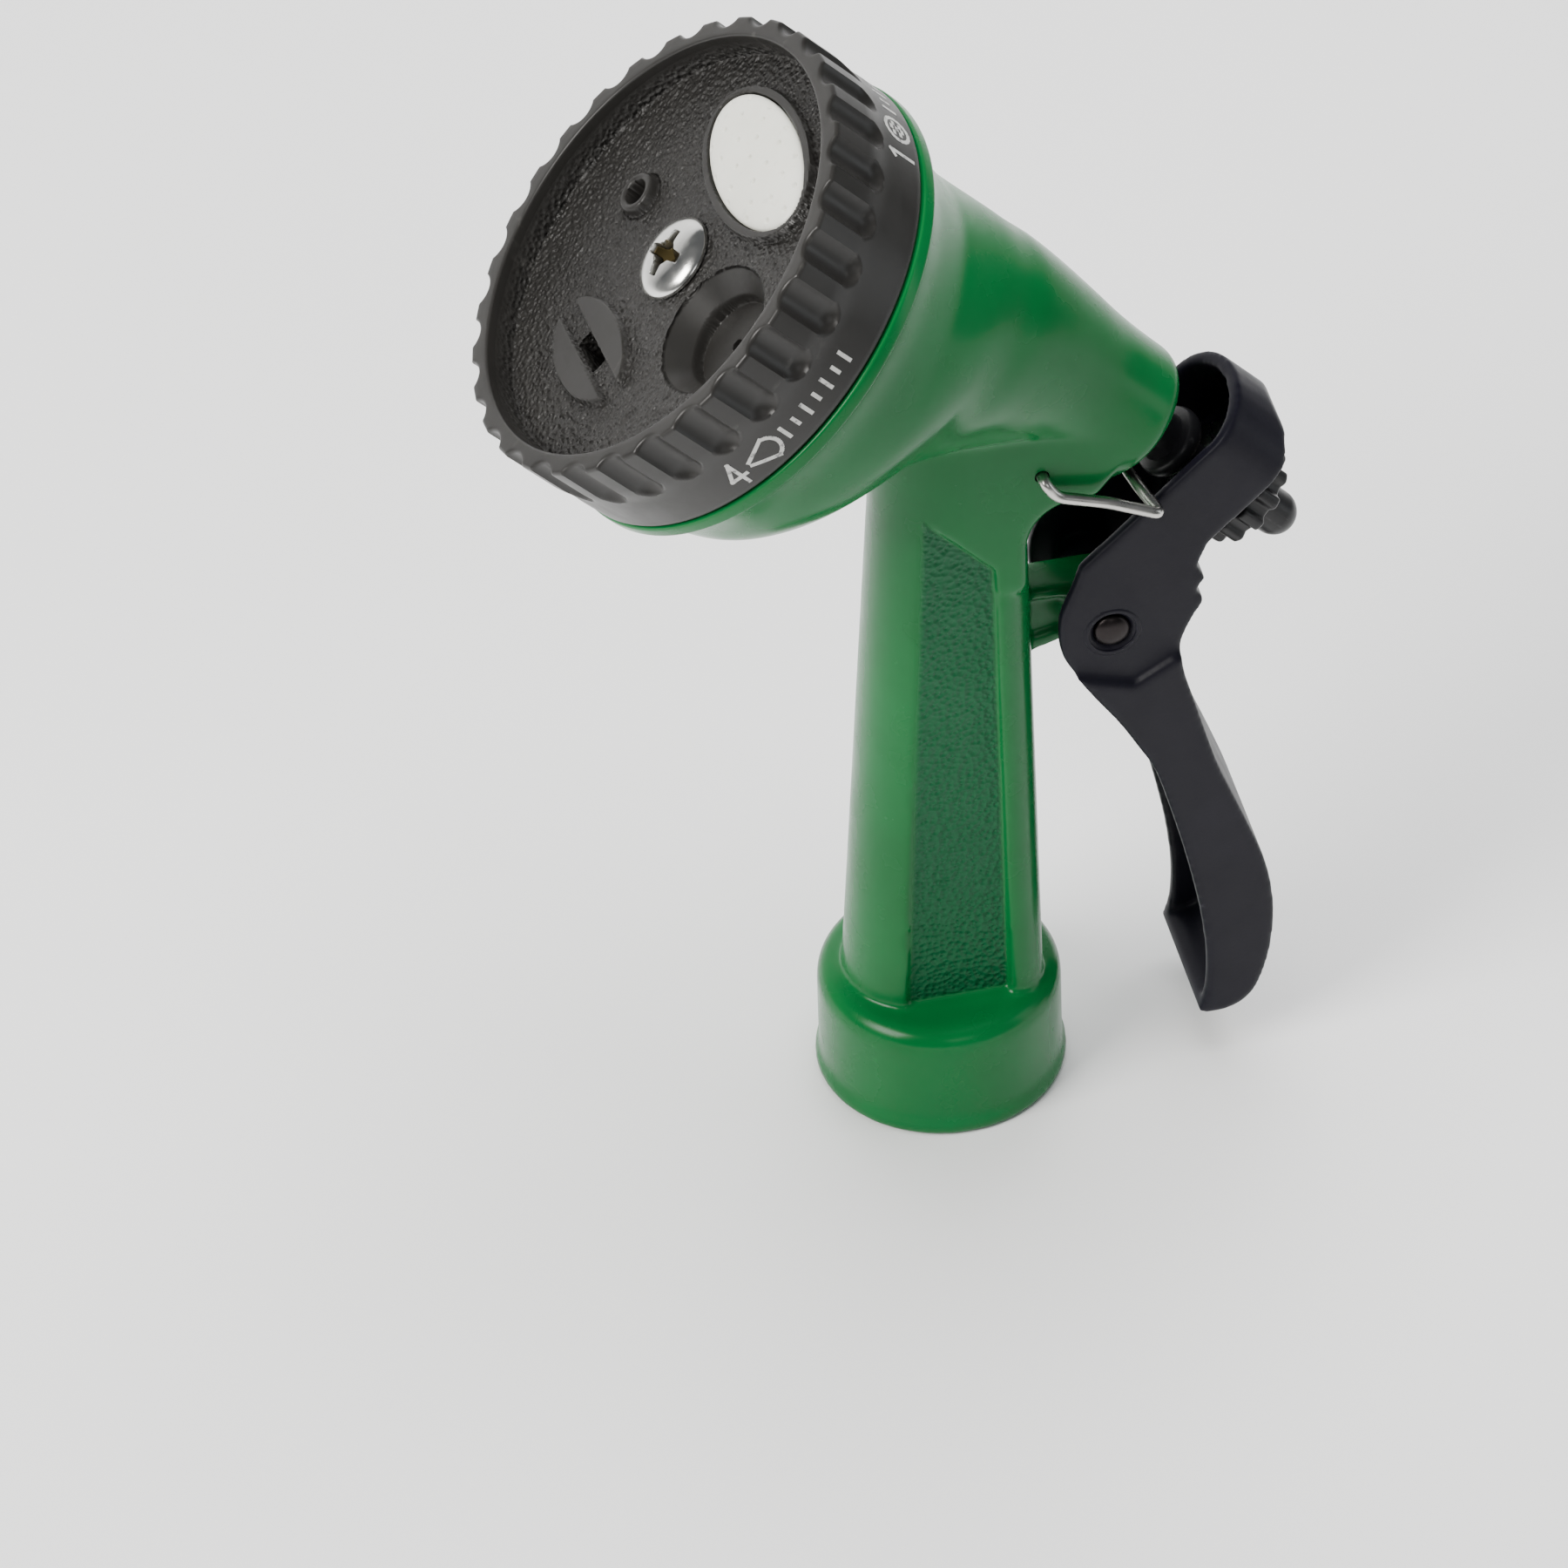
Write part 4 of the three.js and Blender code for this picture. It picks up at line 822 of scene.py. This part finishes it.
def neck():
    end_x, end_z = from_head(VALVE_UP - 7.7, BARREL_END - 1.2)
    mid_x, mid_z = from_head(VALVE_UP + 0.5, BARREL_END - 2.4)
    top_x, top_z = from_head(VALVE_UP + 1, 48)
    rear, bend = 10.8, 6.2
    curve = [(rear + bend * (1 - math.cos(t)), end_z - 0.2 - bend * (1 - math.sin(t)))
             for t in np.linspace(0, math.pi / 2, 12)]
    outline = [(1.5, GRIP_TOP - 8), (rear, GRIP_TOP - 8), *curve, (end_x, end_z), (mid_x, mid_z),
               (top_x, top_z), (1.5, 112)]
    obj = slab("neck", outline, NECK_WIDTH)
    bevel = obj.modifiers.new("round", "BEVEL")
    bevel.width = 1.3 * MM
    bevel.segments = 5
    bevel.limit_method = "ANGLE"
    bevel.angle_limit = math.radians(60)
    return applied(obj)


def bracket():
    px, pz = PIVOT[0] - HANDLE_X, PIVOT[2]
    boss = 3.6
    outline = [(6, pz - 6.4), (12, pz - 6.2), (14.5, pz - 5.6), (17.5, pz - 4.5)]
    outline += [(px + boss * math.cos(t), pz + boss * math.sin(t))
                for t in np.linspace(-math.pi / 2, math.pi / 2, 24)]
    outline += [(12, pz + 3.7), (6, pz + 3.9)]
    web = slab("web", outline, 6.4)
    waist = [(10.4, pz - 4.3), (px - 5, pz - 3), (px - 3.9, pz - 1.5), (px - 3.9, pz + 1.1), (px - 5, pz + 2),
             (10.4, pz + 2.1)]
    for side in (-1, 1):
        tool = slab("waist", waist, 3)
        tool.data.transform(Matrix.Translation((0, side * 3.6 * MM, 0)))
        boolean(web, tool)
    return web


def collar():
    top, outer, bend = 17, 15.9, 2.8
    shoulder = [(outer - bend * (1 - math.cos(t)), top - bend * (1 - math.sin(t)))
                for t in np.linspace(0, math.pi / 2, 12)]
    profile = [(13.2, 0), (16.0, 0), (16.4, 0.15), (16.5, 0.5), (16.5, 1.7), (16.3, 2.1), (15.95, 2.5),
               *shoulder, (3, 17), (3, 12.4), (13.2, 12.4)]
    return lathe("collar", profile, on_handle, 144, close=True)


def housing():
    """The green shell: separate shapes fused into one skin with small fillets."""
    grip = sheet_of_rings("grip", [grip_ring(z) for z in np.linspace(16, 110, 48)], on_handle)
    upper = neck()
    for side in (-1, 1):
        boolean(grip, panel_tool(side))
        boolean(upper, panel_tool(side))
    head = sheet_of_rings("head", head_rings(), in_head)
    shell = fused(merged("gun_shell", [grip, upper, head, bracket(), collar()]), smoothing=24)

    holes = lathe("wire_holes", [(0.95, -14), (0.95, 14)], lambda p: p, 24)
    holes.data.transform(Matrix.Translation(Vector(WIRE_HOLE) * MM) @ Matrix.Rotation(math.pi / 2, 4, "X"))
    boolean(shell, holes)
    boolean(shell, lathe("bore", [(BORE, -BARREL_END - 1), (BORE, -BARREL_END + 9)], on_valve, 96))
    boolean(shell, lathe("waterway", [(WATERWAY, 11), (WATERWAY, 70)], on_handle, 64))

    # pebbled texture inside the side panels
    count = len(shell.data.vertices)
    points = np.empty(count * 3)
    shell.data.vertices.foreach_get("co", points)
    points = points.reshape(-1, 3) / MM - np.array([HANDLE_X, 0, 0])
    depth = np.abs(points[:, 1])
    floor = smooth_step((NECK_WIDTH / 2 - PANEL_DEPTH + 0.35 - depth) / 0.3)
    margin = np.full(count, 9.0)
    for (x0, z0), (x1, z1) in zip(PANEL, PANEL[1:] + PANEL[:1]):
        length = math.hypot(x1 - x0, z1 - z0)
        inward = ((x1 - x0) * (points[:, 2] - z0) - (z1 - z0) * (points[:, 0] - x0)) / length
        margin = np.minimum(margin, inward)
    grain = floor * smooth_step(margin / 0.8)
    paint(shell, "grain", grain)
    hand_over(shell, "gun_body", "green_shell", GREEN, "body", angle=80)


def flange():
    """Rounded rim at the front of the head, beside the dial."""
    profile = rounded([(27.5, -15.2), (30.5, -15.2), (30.5, -17.1), (27.5, -18.2)], 0.45, close=True)
    obj = lathe("head_flange", profile, in_head, 240, close=True)
    hand_over(obj, "gun_body", "green_shell", GREEN)


def inlet_thread():
    """Inside thread of the inlet."""
    major, minor, pitch = 13.25, 12.1, 1.81
    sides, steps = 144, 90
    angle = np.linspace(0, 2 * math.pi, sides, endpoint=False)
    rings = []
    for z in np.linspace(0.5, 9.4, steps):
        phase = np.mod(z / pitch - angle / (2 * math.pi), 1)
        ridge = smooth_step(np.abs(phase - 0.5) * 2.6 - 0.35)
        fade = smooth_step((z - 0.6) / 1.2)
        r = major - (major - minor) * ridge * fade
        rings.append(np.stack([r * np.cos(angle), r * np.sin(angle), np.full(sides, z)], -1))
    root = major + 0.4             # sunk in the collar's wall
    for z in (9.4, 0.5):
        rings.append(np.stack([root * np.cos(angle), root * np.sin(angle), np.full(sides, z)], -1))
    obj = sheet_of_rings("inlet_thread", rings, on_handle, close=True)
    hand_over(obj, "gun_body", "green_shell", GREEN, angle=60)


def inlet_washer():
    profile = rounded([(7, 10.2), (12.9, 10.2), (12.9, 12.1), (7, 12.1)], 0.35, close=True)
    obj = lathe("inlet_washer_ring", profile, on_handle, 96, close=True)
    hand_over(obj, "gun_body", "rubber", RUBBER, "inlet_washer")


# ------------------------------------------------------------------ valve end


def on_valve(points):
    return in_head(np.asarray(points, dtype=float) + np.array([VALVE_UP, 0, 0]))


def gland():
    rim = [(4.1 + 0.6 * math.cos(t), -75.8 + 1.2 * math.sin(t)) for t in np.linspace(-1.3, 1.3, 14)]
    profile = [(2.2, -76.8), (3.4, -77), *rim, (3.25, -74.5), *rounded(
        [(3.2, -74), (3.2, -68.3), (7.2, -68.3), (7.2, -62)], 0.45), (2.2, -62)]
    obj = lathe("gland_neck", profile, on_valve, 96, close=True)
    hand_over(obj, "gun_body", "black_plastic", SATIN, "gland")


def valve_stem():
    profile = rounded([(0.01, -94.6), (1.9, -94.6), (1.9, -62.0), (0.01, -62.0)], 0.3)
    obj = lathe("stem_rod", profile, on_valve, 48)
    hand_over(obj, "valve", "stem_plastic", SATIN)


def adjusting_nut():
    """Twelve-lobed star with a hub in front and a domed cap behind."""
    lobes, sides = 12, 288
    angle = np.linspace(0, 2 * math.pi, sides, endpoint=False)
    wave = np.tanh(2.2 * np.cos(lobes * angle)) / math.tanh(2.2)
    star = 6.6 + 0.5 * wave
    front, back = -86.5, -90.2
    rings = []

    def ring(radius, z):
        radius = np.broadcast_to(radius, angle.shape)
        rings.append(np.stack([radius * np.cos(angle), radius * np.sin(angle), np.full(sides, z)], -1))

    ring(2.0, -85.3)
    for t in np.linspace(0, math.pi / 2, 5):
        ring(3.4 - 0.3 * (1 - math.sin(t)), -85.3 - 0.3 * (1 - math.cos(t)))
    ring(3.4, front)
    for t in np.linspace(0, math.pi / 2, 6):
        ring(star - 0.45 * (1 - math.sin(t)), front - 0.45 * (1 - math.cos(t)))
    for z in np.linspace(front - 0.8, back + 0.8, 4):
        ring(star, z)
    for t in np.linspace(0, math.pi / 2, 6):
        ring(star - 0.45 * (1 - math.cos(t)), back + 0.45 * (1 - math.sin(t)))
    ring(3.35, back)
    ring(3.0, back - 0.12)
    cap, tip = 2.95, -98.3
    ring(cap, back - 0.6)
    for t in np.linspace(0, math.pi / 2 * 0.99, 22):
        ring(cap * math.cos(t), tip + cap - cap * math.sin(t))
    obj = sheet_of_rings("star_nut", rings, on_valve)
    hand_over(obj, "nut", "black_plastic", SATIN, "adjusting_nut", angle=40)


def yoke_washer():
    profile = rounded([(2.9, -82.9), (6.4, -82.9), (6.4, -82.4), (2.9, -82.4)], 0.12, close=True)
    obj = lathe("yoke_washer_ring", profile, on_valve, 72, close=True)
    hand_over(obj, "lever", "steel_wire", WIRE, "yoke_washer")


# ------------------------------------------------------------------ lever, pin and wire


def lever():
    """The CAD lever with its corners and facets softened, and a low rim round each pin hole."""
    source = frame["nodes"]["lever"]
    obj = bpy.data.objects.new("lever_arm", source.data.copy())
    bpy.context.scene.collection.objects.link(obj)
    points = np.array([v.co[:] for v in obj.data.vertices]) / MM
    near_pivot = np.hypot(points[:, 0] - PIVOT[0], points[:, 2] - PIVOT[2]) < 7
    cheek = np.abs(points[near_pivot, 1]).max()
    fused(obj, smoothing=13)
    for side in (-1, 1):
        rim = rounded([(3.0, cheek - 0.6), (3.0, cheek + 0.12), (3.6, cheek + 0.12), (4.0, cheek - 0.6)], 0.2,
                      close=True)
        ring = lathe("boss_rim", rim, lambda p: p, 72, close=True)
        ring.data.transform(Matrix.Translation(Vector((PIVOT[0], 0, PIVOT[2])) * MM)
                            @ Matrix.Rotation(side * math.pi / 2, 4, "X"))
        boolean(obj, ring, "UNION")
    hand_over(obj, "lever", "lever_plastic", LEVER, "lever", angle=60)


def pivot_pin():
    low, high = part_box("pivot_pin")
    turn = Matrix.Rotation(math.pi / 2, 4, "X")
    y0, y1 = low[1] / MM, high[1] / MM
    head, rise, shank = 2.35, 1.05, 1.4
    dome = [(head * math.sin(t), -y0 - rise * (1 - math.cos(t)) - 0.02)
            for t in np.linspace(0.02, math.pi / 2, 12)]
    profile = [*dome, (head, -y0 - 1.1), (shank, -y0 - 1.1), (shank, -y1 + 0.9), (1.9, -y1 + 0.8),
               (1.9, -y1 + 0.35), (1.5, -y1 + 0.05), (0.02, -y1)]
    obj = lathe("pivot_pin_rivet", profile, lambda p: p, 64)
    obj.data.transform(Matrix.Translation(Vector((PIVOT[0], 0, PIVOT[2])) * MM) @ turn)
    hand_over(obj, "gun_body", "dark_pin", PIN, "pivot_pin")


def hold_open_wire():
    """Bright wire loop, hooked into the housing at both ends."""
    up, back = (float(np.dot(WIRE_HOLE - DIAL_CENTRE, axis)) for axis in (ACROSS, -SPRAY))
    half = [(0, -7.4, 0), (0, -10.7, 0), (-0.5, -11.1, 2.6), (2.9, -11.8, 8.0), (5.85, -12.5, 14.5),
            (5.55, -8.8, 12.4), (5.1, -4.4, 11.6)]
    points = half + [(5.0, 0.0, 11.5)] + [(u, -y, b) for u, y, b in reversed(half)]
    path = np.array(rounded([(up + u, y, back + b) for u, y, b in points], 1.15, 12))
    centre = np.stack([path[:, 0], path[:, 1], -path[:, 2]], -1)
    along = np.gradient(centre, axis=0)
    along /= np.linalg.norm(along, axis=1)[:, None]
    guide = np.array([0.25, 0.1, 1.0])
    first = np.cross(np.broadcast_to(guide, along.shape), along)
    first /= np.linalg.norm(first, axis=1)[:, None]
    second = np.cross(along, first)
    radius = 0.75
    angle = np.linspace(0, 2 * math.pi, 20, endpoint=False)
    rings = [c + radius * (np.outer(np.cos(angle), f) + np.outer(np.sin(angle), s))
             for c, f, s in zip(centre, first, second)]
    obj = sheet_of_rings("hold_open_loop", rings, in_head)
    hand_over(obj, "wire", "steel_wire", WIRE, "hold_open_wire")


# ------------------------------------------------------------------ hidden CAD nodes


def dress_hidden_nodes():
    looks = {
        "dial_back_plate": SATIN, "outlet_plate": SATIN, "valve_stem": SATIN,
        "outlet_seal": RUBBER, "valve_seal": RUBBER, "gland_o_ring": RUBBER, "stem_o_ring": RUBBER,
        "dial_washer": WIRE, "outlet_seal_spring": WIRE, "detent_ball": WIRE, "detent_spring": WIRE,
        "valve_spring": WIRE,
    }
    for name, material in looks.items():
        node = frame["nodes"][name]
        for slot in node.material_slots:
            slot.material = material


# ------------------------------------------------------------------ floor, light, camera


def floor():
    half, rise, radius = 1.6, 1.0, 0.35
    profile = [(-half, 0.0), (half * 0.55 - radius, 0.0)]
    profile += [(half * 0.55 - radius + radius * math.sin(t), radius * (1 - math.cos(t)))
                for t in np.linspace(0, math.pi / 2, 16)[1:]]
    profile.append((half * 0.55, rise))
    verts = [(x / MM, y / MM, z / MM) for x in (-half, half) for y, z in profile]
    count = len(profile)
    faces = [[k, k + 1, k + 1 + count, k + count] for k in range(count - 1)]
    obj = new_object("floor", verts, faces)
    shade(obj)
    m = Nodes("pale_floor")
    tone = m.ramp(m.noise(6, 3), 0.3, 0.7, 0, 1)
    m.drive("Base Color", m.blend(tone, (0.86, 0.86, 0.86), (0.90, 0.90, 0.90)))
    m.set(roughness=0.7, specular=0.2)
    obj.data.materials.append(m.material)


def area_light(name, place, target, size, power, color=(1, 1, 1), glossy=True):
    light = bpy.data.lights.new(name, "AREA")
    light.shape = "RECTANGLE"
    light.size, light.size_y = size
    light.energy = power
    light.color = color
    obj = bpy.data.objects.new(name, light)
    obj.location = place
    obj.visible_glossy = glossy
    aim = Vector(target) - Vector(place)
    obj.rotation_euler = aim.to_track_quat("-Z", "Y").to_euler()
    bpy.context.scene.collection.objects.link(obj)


def lights():
    target = (0, 0, 0.09)
    area_light("key", (-0.85, -0.35, 0.8), target, (0.55, 0.55), 18, (1, 0.98, 0.95))
    area_light("top", (0.1, 0.15, 1.1), target, (0.9, 0.9), 17, glossy=False)
    area_light("front", (0.1, -1.0, 0.7), target, (0.4, 0.4), 1.0)
    area_light("right", (0.9, -0.35, 0.35), target, (0.3, 0.7), 1.2, (0.92, 0.97, 1))
    area_light("back", (0.2, 0.8, 0.6), target, (0.8, 0.5), 4, glossy=False)
    world = bpy.data.worlds.new("studio")
    bpy.context.scene.world = world
    world.use_nodes = True
    background = world.node_tree.nodes["Background"]
    background.inputs["Color"].default_value = (0.93, 0.96, 1, 1)
    background.inputs["Strength"].default_value = 0.13


def camera():
    data = bpy.data.cameras.new("camera")
    data.lens = 181.17
    data.sensor_width = 36
    data.clip_end = 20
    obj = bpy.data.objects.new("camera", data)
    place = Vector((-0.15702, -0.72952, 0.71938))
    azimuth, elevation, roll = math.radians(-10.97), math.radians(41.96), math.radians(2.52)
    back = Vector((math.sin(azimuth) * math.cos(elevation), -math.cos(azimuth) * math.cos(elevation),
                   math.sin(elevation)))
    right = Vector((0, 0, 1)).cross(back).normalized()
    up = back.cross(right)
    cam_x = right * math.cos(roll) - up * math.sin(roll)
    cam_y = right * math.sin(roll) + up * math.cos(roll)
    turn = Matrix((cam_x, cam_y, back)).transposed()
    obj.matrix_world = Matrix.Translation(place) @ turn.to_4x4()
    bpy.context.scene.collection.objects.link(obj)
    bpy.context.scene.camera = obj


camera()
lights()
floor()
selector_dial()
rose()
dial_screw()
band_marks()
housing()
flange()
inlet_thread()
inlet_washer()
gland()
valve_stem()
adjusting_nut()
yoke_washer()
lever()
pivot_pin()
hold_open_wire()
dress_hidden_nodes()
